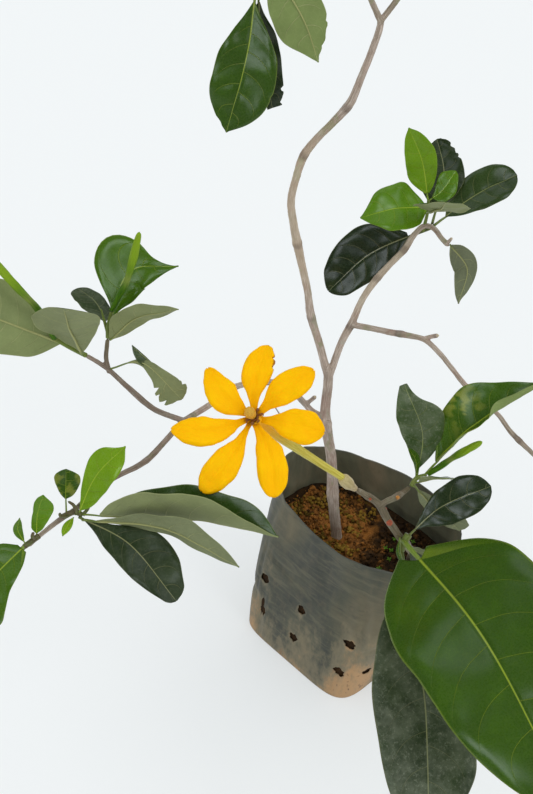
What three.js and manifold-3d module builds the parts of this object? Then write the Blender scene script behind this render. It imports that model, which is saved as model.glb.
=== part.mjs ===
// Potted golden gardenia: a young shrub in a black polythene nursery bag, with one open flower.
// Millimetres, +Z up. The origin is the centre of the bag's flat base, on the surface it stands on.

import * as THREE from 'three';
import { mergeVertices } from 'three/addons/utils/BufferGeometryUtils.js';
import Module from 'manifold-3d';

const wasm = await Module();
wasm.setup();

// ---------------------------------------------------------------- driving dimensions

const BAG = {
  wall: 1, // polythene with its folds
  floor: 1.2,
  baseLength: 123, // along the bag's own long side
  baseDepth: 112,
  rimLength: 168,
  rimDepth: 102,
  rimCentre: [21, 5],
  height: 143, // at the lip's middle height
  lipRise: 4, // how far the lip waves up and down
  turn: -47, // degrees from +X to the long side
  baseSquareness: 6, // exponent of the footprint: 2 is an ellipse
  rimSquareness: 2.15,
};

const DRAIN_HOLE = { diameter: 6.5, depth: 5, sides: 8 };
const DRAIN_ROWS = [
  { height: 30, angles: [7, 41, 90, 108, 187, 221, 270, 288] },
  { height: 62, angles: [0, 44, 96, 180, 224, 276] },
];

const SOIL = { gap: 0.5, fill: 0.7, bump: 3 }; // fill is the share of the bag's height

const WOOD = { gap: 0.35, step: 15 }; // clearance of what grows on the wood, and ring spacing

const BLADE = { thickness: 0.9, keel: 0.9, stalk: 1.1, rows: 6, fullness: 0.78, peak: 0.54 };
const SMALL_BLADE = { width: 18, rows: 3 }; // up to this width a leaf has fewer rows and a plain middle fold

const FLOWER = {
  throat: [-65, -158, 365],
  facing: [0.1, -0.56, 0.82],
  lobeWidth: 20,
  lobeThickness: 1.3,
  throatRadius: 3.7,
  throatDepth: 7,
};

// ---------------------------------------------------------------- stems: routes and radii

const LIMBS = {
  trunk: {
    radii: [5.2, 3.6], knots: [0.42, 0.75],
    route: [
      [1, 9, 62], [0, 8, 100], [-5, 6, 147], [-9, 4, 195], [-15, 2, 236], [-14, 1, 266],
      [-14, 0, 283],
    ],
  },
  leader: {
    radii: [3.1, 2.1], knots: [0.2, 0.42, 0.66, 0.8],
    route: [
      [-14, 1, 272], [-21, 0, 301], [-28, -2, 327], [-31, -5, 349], [-36, -8, 374], [-41, -12, 401],
      [-43, -15, 419], [-40, -18, 437], [-36, -20, 451], [-29, -22, 462], [-19, -24, 474], [-11, -26, 485],
      [-6, -28, 500], [-1, -30, 516], [2, -32, 529], [2, -33, 535],
    ],
  },
  leaderLeftTip: {
    radii: [1.9, 1.5], knots: [0.4],
    route: [
      [2, -33, 532], [-4, -38, 544], [-11, -45, 561], [-22, -50, 576], [-36, -50, 583],
      [-50, -46, 579], [-58, -44, 571],
    ],
  },
  leaderRightTip: {
    radii: [1.8, 1.5], knots: [0.5],
    route: [[2, -33, 532], [10, -30, 542], [21, -25, 557], [29, -18, 573]],
  },
  rightArm: {
    radii: [2.9, 1.8], knots: [0.3, 0.55, 0.72],
    route: [
      [-14, 1, 270], [-6, 2, 302], [1, 5, 317], [7, 8, 333], [15, 12, 345], [25, 16, 356], [35, 20, 366],
      [40, 22, 375], [47, 24, 381], [53, 22, 380], [58, 18, 375], [63, 14, 371],
    ],
  },
  rightArmStub: { radii: [1.6, 1.1], knots: [], route: [[61, 15, 372], [64, 12, 379]] },
  rightBranch: {
    radii: [2.2, 1.5], knots: [0.22, 0.62, 0.85],
    route: [
      [0, 5, 315], [16, -5, 318], [26, -12, 320], [36, -20, 323], [46, -28, 325], [55, -38, 321], [63, -48, 315],
      [71, -58, 309], [89, -75, 300], [97, -83, 292], [110, -95, 284], [118, -103, 279],
    ],
  },
  rightBranchStub: {
    radii: [1.7, 1.4], knots: [1],
    route: [[45, -27, 325], [49, -29, 328], [54, -33, 332]],
  },
  leftBranch: {
    radii: [2.6, 2.0], knots: [0.3, 0.7],
    route: [
      [-14, 2, 234], [-24, 5, 238], [-31, 3.5, 248], [-45, -12, 276], [-61, -31, 292], [-77, -52, 305],
      [-92, -83, 315], [-108, -109, 322],
    ],
  },
  leftBranchStub: {
    radii: [1.8, 1.5], knots: [1],
    route: [[-28, 5, 246], [-25, 3.5, 250.5], [-22, 2.4, 254.5]],
  },
  lowerTwig: {
    radii: [1.9, 1.3], knots: [0.28, 0.62, 0.8],
    route: [
      [-107, -108, 322], [-114, -118, 320], [-126, -135, 316], [-132, -142, 316], [-143, -152, 317],
      [-153, -164, 317], [-162, -178, 317], [-169, -186, 317], [-178, -198, 317], [-183, -206, 317],
    ],
  },
  upperTwig: {
    radii: [1.9, 1.4], knots: [0.45],
    route: [
      [-107, -108, 322], [-115, -111, 328], [-124, -114, 336], [-137, -115, 352], [-148, -114, 365],
      [-159, -116, 376],
    ],
  },
  upperTwigSpur: {
    radii: [1.6, 1.3], knots: [],
    route: [[-147, -114, 362], [-148, -113, 371], [-147, -112, 379], [-146, -111, 384]],
  },
  deadTwig: {
    radii: [1.5, 0.8], knots: [0.5],
    route: [
      [-8, 4, 178], [-19, -4, 197], [-30, -9, 212], [-42, -11, 234], [-50, -12, 252],
      [-57, -17, 268],
    ],
  },
};

const FRONT_LIMBS = {
  riser: {
    radii: [3.4, 2.4], knots: [0.45, 0.8],
    route: [
      [60, -8, 66], [57, -16, 100], [53, -43, 139], [42, -83, 185], [32, -123, 231], [23, -153, 267],
      [19, -162, 279],
    ],
  },
  flowerTwig: {
    radii: [2.4, 1.7], knots: [0.45, 0.75],
    route: [[20, -161, 277], [12, -158, 289], [6, -155, 299], [-3, -154, 307]],
  },
  sideTwig: {
    radii: [1.9, 1.5], knots: [0.5],
    route: [[12, -158, 289], [10, -152, 297], [17, -148, 300], [26, -142, 300]],
  },
};

// ---------------------------------------------------------------- leaf sprays
// Each leaf: the midrib from its stalk's foot via its middle to its tip, the side its upper face looks to,
// its width, how far the halves fold up (share of the half width) and how far the edge waves.

const SPRAYS = {
  top_left_leaves: {
    shoots: [
      { radii: [1.6, 1.2], route: [[-57, -44, 572], [-62, -43, 564], [-63, -43, 556], [-62, -43, 549]] },
    ],
    leaves: [
      {
        from: [-63, -44, 554], via: [-68, -63, 524], to: [-76, -74, 488],
        face: [-0.1, -0.85, 0.5], width: 34, fold: 0.1, wave: 0.8, fullness: 0.65, peak: 0.58,
      },
      {
        from: [-62, -42, 552], via: [-61, -42, 520], to: [-55, -46, 490],
        face: [0.3, -0.8, 0.5], width: 27, fold: 0.1, wave: 0.6,
      },
      {
        from: [-59, -44, 567], via: [-39, -51, 538], to: [-31, -52, 517],
        face: [0.2, 0.8, -0.55], width: 28, fold: 0.12, wave: 0.6,
      },
      {
        from: [-60, -44, 568], via: [-84, -46, 588], to: [-110, -52, 590],
        face: [0, -0.3, 1], width: 30, fold: 0.15, wave: 0.8,
      },
      {
        from: [-58, -44, 570], via: [-62, -16, 588], to: [-68, 12, 588],
        face: [0, 0.3, 1], width: 28, fold: 0.15, wave: 0.8,
      },
    ],
  },
  top_right_leaves: {
    shoots: [{ radii: [1.6, 1.1], route: [[29, -18, 573], [31, -15, 584], [32, -13, 600]] }],
    leaves: [
      {
        from: [30, -16, 580], via: [54, -12, 600], to: [84, -14, 604],
        face: [-0.3, 0, 1], width: 32, fold: 0.15, wave: 0.8,
      },
      {
        from: [30, -16, 581], via: [12, 4, 602], to: [-10, 24, 606],
        face: [0.3, 0.2, 1], width: 32, fold: 0.15, wave: 0.8,
      },
      {
        from: [32, -13, 596], via: [42, 8, 618], to: [52, 34, 628],
        face: [-0.3, -0.3, 1], width: 28, fold: 0.2, wave: 0.8,
      },
      {
        from: [32, -13, 597], via: [20, -32, 622], to: [2, -50, 636],
        face: [0.4, 0.5, 1], width: 26, fold: 0.2, wave: 0.8,
      },
    ],
  },
  upper_right_young_leaves: {
    shoots: [{ radii: [1.5, 1.2], route: [[46, 23.5, 377], [48, 25, 389], [48, 26, 399]] }],
    leaves: [
      {
        from: [48, 26, 397], via: [43, 35, 421], to: [33, 41, 442],
        face: [-0.2, -0.75, 0.6], width: 22, fold: 0.25, wave: 0.5,
      },
      {
        from: [48, 25, 394], via: [25, 14, 399], to: [2, 6, 396],
        face: [-0.1, -0.6, 0.8], width: 31, fold: 0.1, wave: 0.6,
      },
      {
        from: [48, 26, 398], via: [57, 28, 405], to: [65, 33, 416],
        face: [-0.3, -0.75, 0.6], width: 15, fold: 0.15, wave: 0.3,
      },
      {
        from: [48, 25, 390], via: [52, 3, 405], to: [51, -18, 419],
        face: [0.1, 0.66, 0.75], width: 36, fold: 0.06, wave: 0.5,
      },
    ],
  },
  upper_right_old_leaves: {
    shoots: [{ radii: [2.9, 2.9], route: [[50, 23.5, 381], [54.5, 21.5, 379.5]] }],
    leaves: [
      {
        from: [53, 24, 381], via: [83, 41, 396], to: [108, 44, 408],
        face: [-0.3, -0.6, 0.75], width: 33, fold: 0.1, wave: 0.6, stalk: 0.16,
      },
      {
        from: [52, 25, 382], via: [55, 56, 402], to: [60, 84, 415],
        face: [-0.2, -0.5, 0.85], width: 34, fold: 0.1, wave: 0.8, stalk: 0.16,
      },
      {
        from: [52, 25, 379], via: [12, 28, 357], to: [-15, 21, 332],
        face: [-0.3, -0.8, 0.5], width: 43, fold: 0.1, wave: 0.8, stalk: 0.2, fullness: 0.6,
      },
    ],
  },
  upper_right_hanging_leaf: {
    shoots: [],
    leaves: [
      {
        from: [63.5, 15, 371], via: [75.5, 4, 359], to: [69.5, -7, 339.5],
        face: [0.5, 0.8, 0.1], width: 22, fold: 0.1, wave: 0.4, stalk: 0.08, peak: 0.5,
      },
    ],
  },
  right_end_leaves: {
    shoots: [{ radii: [1.5, 1.2], route: [[117, -102, 279.5], [123, -108, 277], [128, -112, 276]] }],
    leaves: [
      {
        from: [121, -106, 278], via: [146, -122, 288], to: [176, -134, 286],
        face: [-0.2, -0.1, 1], width: 32, fold: 0.15, wave: 0.8,
      },
      {
        from: [121, -106, 278], via: [138, -88, 294], to: [154, -66, 300],
        face: [-0.3, -0.3, 1], width: 30, fold: 0.15, wave: 0.8,
      },
      {
        from: [127, -111, 276], via: [138, -134, 270], to: [152, -158, 256],
        face: [0.1, -0.3, 1], width: 28, fold: 0.15, wave: 0.8,
      },
      {
        from: [127, -111, 276], via: [146, -104, 266], to: [168, -98, 252],
        face: [0.3, 0.1, 1], width: 26, fold: 0.15, wave: 0.8,
      },
    ],
  },
  left_twig_leaves: {
    shoots: [
      { radii: [1.7, 1.3], route: [[-146, -111, 384], [-145.5, -110, 390], [-143, -107, 399]] },
      { radii: [1.5, 0.6], route: [[-146, -110, 387], [-148, -107, 394], [-149, -106, 400]] },
    ],
    leaves: [
      {
        from: [-145.5, -109.5, 389.5], via: [-133, -91, 414.5], to: [-106, -94.5, 420],
        face: [-0.1, -0.8, 0.55], width: 36, fold: 0.1, wave: 0.4, stalk: 0.13, fullness: 0.85, peak: 0.48,
      },
      {
        from: [-145, -111, 386], via: [-128, -112, 400], to: [-105, -119, 408],
        face: [-0.15, 0.85, 0.5], width: 24, fold: 0.1, wave: 0.5,
      },
      {
        from: [-146, -109, 390], via: [-155, -90, 394], to: [-168, -77, 395],
        face: [0.5, 0.1, 0.85], width: 17, fold: 0.2, wave: 0.4,
      },
    ],
  },
  left_tip_leaves: {
    shoots: [{ radii: [1.7, 1.4], route: [[-158.5, -116, 375.5], [-166, -119, 383], [-173, -121, 390]] }],
    leaves: [
      {
        from: [-160, -117, 377], via: [-162, -129, 403], to: [-161, -142, 427],
        face: [0.05, 0.9, 0.43], width: 37, fold: 0.1, wave: 0.8, stalk: 0.05,
      },
      {
        from: [-170, -120, 387], via: [-199, -123, 408], to: [-223, -128, 419],
        face: [0.3, -0.75, 0.6], width: 38, fold: 0.2, wave: 0.8, stalk: 0.05,
      },
    ],
  },
  left_low_leaf: {
    shoots: [],
    leaves: [
      {
        from: [-146.5, -114, 364.6], via: [-124, -117, 371], to: [-104.5, -135, 363],
        face: [0.1, 0.8, -0.55], width: 17, fold: 0.15, wave: 1.2, stalk: 0.2, fullness: 0.5, peak: 0.72,
      },
    ],
  },
  lower_left_leaves: {
    shoots: [{ radii: [2.5, 2.2], route: [[-168, -184.5, 317.5], [-162, -181, 318], [-157, -184, 318.5]] }],
    leaves: [
      {
        from: [-159, -183, 319], via: [-149, -176, 339], to: [-132, -172, 357],
        face: [-0.3, -0.75, 0.6], width: 18, fold: 0.2, wave: 0.6, stalk: 0.04,
      },
      {
        from: [-166, -182, 319], via: [-166, -177, 328], to: [-165, -172, 341],
        face: [0, -0.8, 0.6], width: 15, fold: 0.12, wave: 0.2, stalk: 0.3,
      },
      {
        from: [-159, -184, 317], via: [-130, -206, 320], to: [-103, -238, 312],
        face: [0.1, -0.7, 0.7], width: 28, fold: 0.1, wave: 0.9, stalk: 0.05, fullness: 0.62, peak: 0.62,
      },
      {
        from: [-157, -184, 319], via: [-111, -199, 331.5], to: [-58, -214, 341],
        face: [-0.1, 0.25, 0.95], width: 33, fold: 0.75, wave: 0.8, stalk: 0.1,
      },
      {
        from: [-157, -186, 317], via: [-107, -212, 335], to: [-73, -236, 334],
        face: [0, 0.95, -0.1], width: 27, fold: 0.1, wave: 0.8, stalk: 0.1,
      },
      {
        from: [-162, -184, 317], via: [-164, -190, 317], to: [-166, -197, 316],
        face: [0, 0, 1], width: 5, fold: 0.1, wave: 0, stalk: 0.02,
      },
    ],
  },
  lower_tip_leaves: {
    shoots: [{ radii: [2.3, 2.1], route: [[-178, -199, 318], [-185, -207, 317.5]] }],
    leaves: [
      {
        from: [-184, -206, 318], via: [-197, -227, 316], to: [-212, -255, 305],
        face: [0, -0.7, 0.7], width: 34, fold: 0.12, wave: 0.9, stalk: 0.04,
      },
      {
        from: [-184, -206, 317], via: [-206, -220, 292], to: [-214, -241, 268],
        face: [-0.3, -0.7, 0.6], width: 26, fold: 0.15, wave: 0.8, stalk: 0.08,
      },
      {
        from: [-179, -199, 319], via: [-178, -194, 329], to: [-174, -191, 340],
        face: [0.1, -0.9, 0.4], width: 9, fold: 0.15, wave: 0.4, stalk: 0.04,
      },
      {
        from: [-184, -205, 319], via: [-187, -203, 327], to: [-185, -202, 334],
        face: [0.5, -0.7, 0.4], width: 5, fold: 0.2, wave: 0, stalk: 0.04,
      },
    ],
  },
  front_right_leaves: {
    shoots: [{ radii: [1.9, 1.6], route: [[26.5, -142, 300.5], [29, -140, 304.5], [35, -140, 307.5]] }],
    leaves: [
      {
        from: [29, -140, 304], via: [32, -128, 328], to: [21, -117, 354],
        face: [-0.15, -0.8, 0.55], width: 32, fold: 0.3, wave: 0.8,
      },
      {
        from: [33, -140, 306], via: [52, -137, 335], to: [92, -135, 371],
        face: [-0.56, -0.08, 0.82], width: 27, fold: 0.8, wave: 0.9, stalk: 0.14,
      },
      {
        from: [29, -140, 305], via: [28, -137.5, 316], to: [23, -136, 325],
        face: [0.6, -0.7, 0.3], width: 7, fold: 0.25, wave: 0.2, stalk: 0.1,
      },
      {
        from: [28, -141, 302], via: [39, -151, 315], to: [50, -165, 322],
        face: [0.1, 0.6, 0.75], width: 20, fold: 0.1, wave: 0.4,
      },
      {
        from: [27.5, -141, 301], via: [42, -141, 284], to: [57, -143, 269],
        face: [0.5, 0.8, 0.4], width: 22, fold: 0.1, wave: 0.4,
      },
    ],
  },
  front_tip_leaves: {
    shoots: [{ radii: [3.0, 3.2], route: [[24, -163, 282], [21, -165.5, 277], [20, -166, 271]] }],
    leaves: [
      {
        from: [24, -163, 281], via: [42, -155, 296], to: [70, -151, 309],
        face: [-0.3, -0.7, 0.6], width: 24, fold: 0.12, wave: 0.7, stalk: 0.1,
      },
      {
        from: [22, -164, 275], via: [38, -160, 251], to: [58, -158, 226],
        face: [0.5, -0.7, 0.4], width: 24, fold: 0.15, wave: 0.6, stalk: 0.1,
      },
      {
        from: [21, -165, 279], via: [54, -237, 283], to: [89, -322, 253],
        face: [-0.36, -0.28, 0.85], width: 84, fold: 0.08, wave: 1.8, stalk: 0.04, fullness: 0.42, peak: 0.4,
      },
      {
        from: [20, -165, 273], via: [29, -233, 232], to: [27, -307, 190],
        face: [0.1, -0.5, 0.85], width: 57, fold: 0.08, wave: 1.4, stalk: 0.1,
      },
    ],
  },
};

// ---------------------------------------------------------------- flower parts

const FLOWER_TUBE = {
  radii: [1.8, 2.1, 2.6, 3.9],
  route: [[-12, -156, 317], [-20, -154, 326], [-40, -150, 345], [-56, -152, 358], [-65, -158, 365]],
};
const LOBE_TIPS = [
  [-57, -128, 391], [-33, -143, 385], [-28, -169, 364], [-54, -197, 344], [-91, -197, 348], [-107, -174, 370],
  [-89, -144, 387],
];
const CALYX = {
  radii: [2.2, 3.4, 3.0], route: [[-3.4, -154, 307.6], [-8, -155, 312.5], [-11.4, -155.8, 316.4]],
};

const BUDS = {
  left_twig_bud: {
    route: [
      [-143, -107, 399.4], [-138.5, -106.5, 408], [-134, -106, 416], [-130, -103, 427],
      [-125, -100, 444],
    ],
  },
  left_tip_bud: {
    route: [
      [-173.3, -121.1, 390.4], [-176, -121.5, 400], [-180, -122, 411], [-188, -123, 424],
      [-202, -122, 446],
    ],
  },
  front_bud: {
    route: [[35.4, -140, 307.9], [41, -139, 312], [49, -138, 319], [55, -138.5, 324.5], [64, -139, 332]],
  },
};
const BUD_RADII = [1.4, 1.9, 2.4, 2.0, 2.5, 2.5, 2.2, 1.2];

// ---------------------------------------------------------------- geometry helpers

const vector = (p) => new THREE.Vector3(...p);
const lerp = THREE.MathUtils.lerp;
const curveThrough = (points) => new THREE.CatmullRomCurve3(points.map(vector), false, 'centripetal');

// A closed body through rings of equal, even point counts. Points i and n-1-i of a ring face each other, the
// ends are zipped up between them, and the second half is split along the same diagonals as the first.
class LoftGeometry extends THREE.BufferGeometry {
  constructor(rings) {
    super();
    const count = rings[0].length;
    const index = [];
    const quad = (a, b, c, d, flip) => index.push(...(flip ? [a, b, c, a, c, d] : [a, b, d, b, c, d]));
    for (let r = 0; r + 1 < rings.length; r++) {
      for (let i = 0; i < count; i++) {
        const next = (i + 1) % count;
        quad(r * count + i, r * count + next, (r + 1) * count + next, (r + 1) * count + i, i >= count / 2);
      }
    }
    const last = (rings.length - 1) * count;
    for (let i = 0; i + 1 < count / 2; i++) {
      quad(count - 1 - i, count - 2 - i, i + 1, i, false);
      quad(last + i, last + i + 1, last + count - 2 - i, last + count - 1 - i, false);
    }
    this.setAttribute('position', new THREE.Float32BufferAttribute(rings.flat().flatMap((p) => p.toArray()), 3));
    this.setIndex(index);
  }
}

function signedVolume(geometry) {
  const at = geometry.getAttribute('position');
  const index = geometry.getIndex();
  const corner = (k) => new THREE.Vector3().fromBufferAttribute(at, index.getX(k));
  let volume = 0;
  for (let k = 0; k < index.count; k += 3) volume += corner(k).dot(corner(k + 1).cross(corner(k + 2))) / 6;
  return volume;
}

function solidOf(geometry) {
  const triVerts = Uint32Array.from(geometry.getIndex().array);
  if (signedVolume(geometry) < 0) triVerts.reverse();
  const vertProperties = Float32Array.from(geometry.getAttribute('position').array);
  return new wasm.Manifold(new wasm.Mesh({ numProp: 3, vertProperties, triVerts }));
}

const join = (solids) => wasm.Manifold.union(solids);
const largestPiece = (solid) => solid.decompose().reduce((a, b) => (b.volume() > a.volume() ? b : a));

function partMesh(name, solid, look) {
  const { vertProperties, triVerts } = solid.getMesh();
  const geometry = new THREE.BufferGeometry();
  geometry.setAttribute('position', new THREE.BufferAttribute(Float32Array.from(vertProperties), 3));
  geometry.setIndex(new THREE.BufferAttribute(Uint32Array.from(triVerts), 1));
  geometry.computeVertexNormals();
  const mesh = new THREE.Mesh(geometry, new THREE.MeshStandardMaterial(look));
  mesh.name = name;
  return mesh;
}

// ---------------------------------------------------------------- stems

function limbGeometry({ route, radii, knots = [], sides = 6, grow = 0 }) {
  const curve = curveThrough(route);
  const steps = Math.max(2, Math.ceil(curve.getLength() / WOOD.step));
  const frames = curve.computeFrenetFrames(steps, false);
  const rings = [];
  for (let k = 0; k <= steps; k++) {
    const t = k / steps;
    const centre = curve.getPointAt(t);
    const swell = knots.reduce((sum, knot) => sum + 0.22 * Math.exp(-(((t - knot) * steps) ** 2)), 1);
    const along = t * (radii.length - 1);
    const slot = Math.min(Math.floor(along), radii.length - 2);
    const radius = lerp(radii[slot], radii[slot + 1], along - slot) * swell + grow;
    rings.push(ringPoints(centre, frames.normals[k], frames.binormals[k], radius, sides));
  }
  if (grow > 0) {
    rings[0].forEach((p) => p.addScaledVector(frames.tangents[0], -grow));
    rings[steps].forEach((p) => p.addScaledVector(frames.tangents[steps], grow));
  }
  return new LoftGeometry(rings);
}

function ringPoints(centre, across, up, radius, sides) {
  return Array.from({ length: sides }, (_, i) => {
    const angle = ((i + 0.5) / sides) * 2 * Math.PI;
    const point = centre.clone().addScaledVector(across, radius * Math.cos(angle));
    return point.addScaledVector(up, radius * Math.sin(angle));
  });
}

const limbSolid = (limb, grow = 0, sides = 6) => solidOf(limbGeometry({ ...limb, grow, sides }));

function limbsSolid(limbs, grow = 0) {
  const sides = { trunk: 10, riser: 10 };
  return join(Object.entries(limbs).map(([name, limb]) => limbSolid(limb, grow, sides[name] ?? 6)));
}

// ---------------------------------------------------------------- leaves and petals

// Half width along a leaf, as a share of its greatest: an ellipse drawn out to a short point.
const leafOutline = (u, fullness, peak) => {
  return Math.sin(Math.PI * u ** (Math.log(0.5) / Math.log(peak))) ** fullness;
};
// A fleshy lobe: narrow claw, widest past the middle, rounded tip.
const lobeOutline = (u) => Math.max(0.42 * (1 - u), Math.sin(Math.PI * (0.06 + 0.94 * u) ** 1.45) ** 0.62);

function bladeGeometry(blade, outline = leafOutline) {
  const { from, via, to, face, width, fold = 0.1, wave = 0, stalk = 0.12, thickness = BLADE.thickness } = blade;
  const { fullness = BLADE.fullness, peak = BLADE.peak } = blade;
  const small = width <= SMALL_BLADE.width;
  const across = small ? [-1, 0, 1] : [-1, -0.5, 0, 0.5, 1];
  const rows = blade.rows ?? (small ? SMALL_BLADE.rows : BLADE.rows);
  const curve = curveThrough([from, via, to]);
  const up = vector(face).normalize();
  const shares = stalk > 0 ? [0, stalk * 0.55] : [];
  for (let k = 0; k <= rows; k++) shares.push(lerp(stalk, 1, 0.5 - 0.5 * Math.cos((Math.PI * k) / rows)));
  const rings = shares.map((t) => {
    const u = Math.max(0, (t - stalk) / (1 - stalk));
    const spine = curve.getPointAt(Math.min(t, 1));
    const tangent = curve.getTangentAt(Math.min(t, 1));
    const normal = up.clone().addScaledVector(tangent, -up.dot(tangent)).normalize();
    const side = new THREE.Vector3().crossVectors(tangent, normal);
    const half = Math.max(BLADE.stalk, (width / 2) * outline(u, fullness, peak));
    const keel = BLADE.keel * (1 - u) ** 2;
    const ripple = (s) => wave * Math.sin(19 * u + 2.1 * s) * s * s * Math.min(1, 4 * u);
    const lift = (s) => fold * half * Math.abs(s) ** 1.3 + ripple(s);
    const point = (s, drop) => {
      return spine.clone().addScaledVector(side, s * half).addScaledVector(normal, lift(s) - drop);
    };
    const top = across.map((s) => point(s, -thickness / 2));
    const bottom = across.map((s) => point(s, thickness / 2 + keel * (1 - Math.abs(s)))).reverse();
    return [...top, ...bottom];
  });
  return new LoftGeometry(rings);
}

const budSolid = (bud, grow) => limbSolid({ ...bud, radii: BUD_RADII }, grow, 8);

const sprayBodies = ({ shoots, leaves }) => [
  ...shoots.map((shoot) => limbSolid(shoot)),
  ...leaves.map((leaf) => solidOf(bladeGeometry(leaf))),
];

// ---------------------------------------------------------------- bag and soil

const BAG_TURN = THREE.MathUtils.degToRad(BAG.turn);

// A point of the bag's wall: share of the height, angle in the bag's own frame, distance inside the outer face.
function bagPoint(share, angle, inset) {
  const spread = THREE.MathUtils.smoothstep(share, -0.15, 1.1);
  const halfLength = lerp(BAG.baseLength, BAG.rimLength, spread) / 2 - inset;
  const halfDepth = lerp(BAG.baseDepth, BAG.rimDepth, spread) / 2 - inset;
  const power = 2 / lerp(BAG.baseSquareness, BAG.rimSquareness, spread);
  const along = halfLength * Math.sign(Math.cos(angle)) * Math.abs(Math.cos(angle)) ** power;
  const across = halfDepth * Math.sign(Math.sin(angle)) * Math.abs(Math.sin(angle)) ** power;
  const x = along * Math.cos(BAG_TURN) - across * Math.sin(BAG_TURN) + BAG.rimCentre[0] * spread;
  const y = along * Math.sin(BAG_TURN) + across * Math.cos(BAG_TURN) + BAG.rimCentre[1] * spread;
  return new THREE.Vector3(x, y, share * lipHeight(angle));
}

const lipHeight = (angle) => BAG.height + BAG.lipRise * Math.sin(2 * angle + 0.6) + 1.2 * Math.sin(5 * angle);

const BAG_SIDES = 32;
const WALL_SHARES = [0, 0.03, 0.22, 0.46, 0.7, 0.86, 1];

function bagRing(share, inset, height = null) {
  return Array.from({ length: BAG_SIDES }, (_, i) => {
    const point = bagPoint(share, ((i + 0.5) / BAG_SIDES) * 2 * Math.PI, inset);
    return height === null ? point : point.setZ(height);
  });
}

function growBag() {
  const outside = WALL_SHARES.map((share) => bagRing(share, 0));
  const inside = WALL_SHARES.slice(2).map((share) => bagRing(share, BAG.wall)).reverse();
  const shell = solidOf(new LoftGeometry([...outside, ...inside, bagRing(0.03, BAG.wall, BAG.floor)]));
  const holes = DRAIN_ROWS.flatMap(({ height, angles }) => angles.map((degrees) => drainHole(height, degrees)));
  return shell.subtract(join(holes));
}

// The angle is seen from the origin, from +X towards +Y.
function drainHole(height, degrees) {
  const angle = THREE.MathUtils.degToRad(degrees);
  const outward = new THREE.Vector3(Math.cos(angle), Math.sin(angle), 0);
  const wall = nearestWallPoint(height, outward);
  const bore = new THREE.CylinderGeometry(
    DRAIN_HOLE.diameter / 2, DRAIN_HOLE.diameter / 2, DRAIN_HOLE.depth, DRAIN_HOLE.sides,
  );
  bore.applyQuaternion(new THREE.Quaternion().setFromUnitVectors(new THREE.Vector3(0, 1, 0), outward));
  bore.translate(wall.x, wall.y, wall.z);
  return solidOf(welded(bore));
}

function nearestWallPoint(height, outward) {
  const aim = (q) => (q.x * outward.x + q.y * outward.y) / Math.hypot(q.x, q.y);
  const share = height / BAG.height;
  const wall = Array.from({ length: 360 }, (_, i) => bagPoint(share, (i / 180) * Math.PI, BAG.wall / 2));
  return wall.reduce((best, p) => (aim(p) > aim(best) ? p : best)).setZ(height);
}

// The same shape with its shared corners merged, so that it closes.
function welded(geometry) {
  geometry.deleteAttribute('normal');
  geometry.deleteAttribute('uv');
  return mergeVertices(geometry, 1e-3);
}

function soilRelief(x, y) {
  return Math.sin(x / 9 + 1) * Math.cos(y / 8) + 0.6 * Math.sin((x + y) / 6) + 0.4 * Math.cos((x - 2 * y) / 10);
}

function soilBody(stems) {
  const inset = BAG.wall + SOIL.gap;
  const rings = [bagRing(0.03, inset, BAG.floor + SOIL.gap)];
  for (const share of WALL_SHARES.filter((s) => s > 0.03 && s <= SOIL.fill)) rings.push(bagRing(share, inset));
  const edge = rings.at(-1);
  const centre = edge.reduce((sum, p) => sum.add(p), new THREE.Vector3()).divideScalar(edge.length);
  for (const reach of [0.9, 0.72, 0.54, 0.36, 0.18]) {
    rings.push(edge.map((p) => {
      const q = centre.clone().lerp(p, reach);
      return q.setZ(centre.z + SOIL.bump * (0.6 + soilRelief(q.x, q.y) * 0.5) * Math.min(1, (1 - reach) * 5));
    }));
  }
  return solidOf(new LoftGeometry(rings)).subtract(stems);
}

// ---------------------------------------------------------------- flower

function corolla() {
  const throat = vector(FLOWER.throat);
  const facing = vector(FLOWER.facing).normalize();
  const lobes = LOBE_TIPS.map((tip, i) => {
    const reach = vector(tip).sub(throat);
    const lift = facing.clone().multiplyScalar(i % 2 ? 0.5 : -0.3);
    const foot = throat.clone().addScaledVector(reach, 0.03).add(lift).addScaledVector(facing, -1);
    const middle = throat.clone().addScaledVector(reach, 0.5).addScaledVector(facing, 2.4).add(lift);
    return solidOf(bladeGeometry({
      from: foot.toArray(), via: middle.toArray(), to: tip, face: FLOWER.facing,
      width: FLOWER.lobeWidth, fold: 0.12, wave: 0.4, stalk: 0, thickness: FLOWER.lobeThickness, rows: 5,
    }, lobeOutline));
  });
  const tube = limbSolid(FLOWER_TUBE, 0, 8);
  const mouth = limbSolid({ ...throatRoute(6, -FLOWER.throatDepth), radii: [FLOWER.throatRadius, 1.6] }, 0, 8);
  return largestPiece(join([tube, ...lobes]).subtract(mouth));
}

// A straight route through the throat along the way the flower faces, from one height to another.
function throatRoute(high, low) {
  const facing = vector(FLOWER.facing).normalize();
  const at = (height) => vector(FLOWER.throat).addScaledVector(facing, height).toArray();
  return { route: [at(high), at((high + low) / 2), at(low)] };
}

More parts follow.
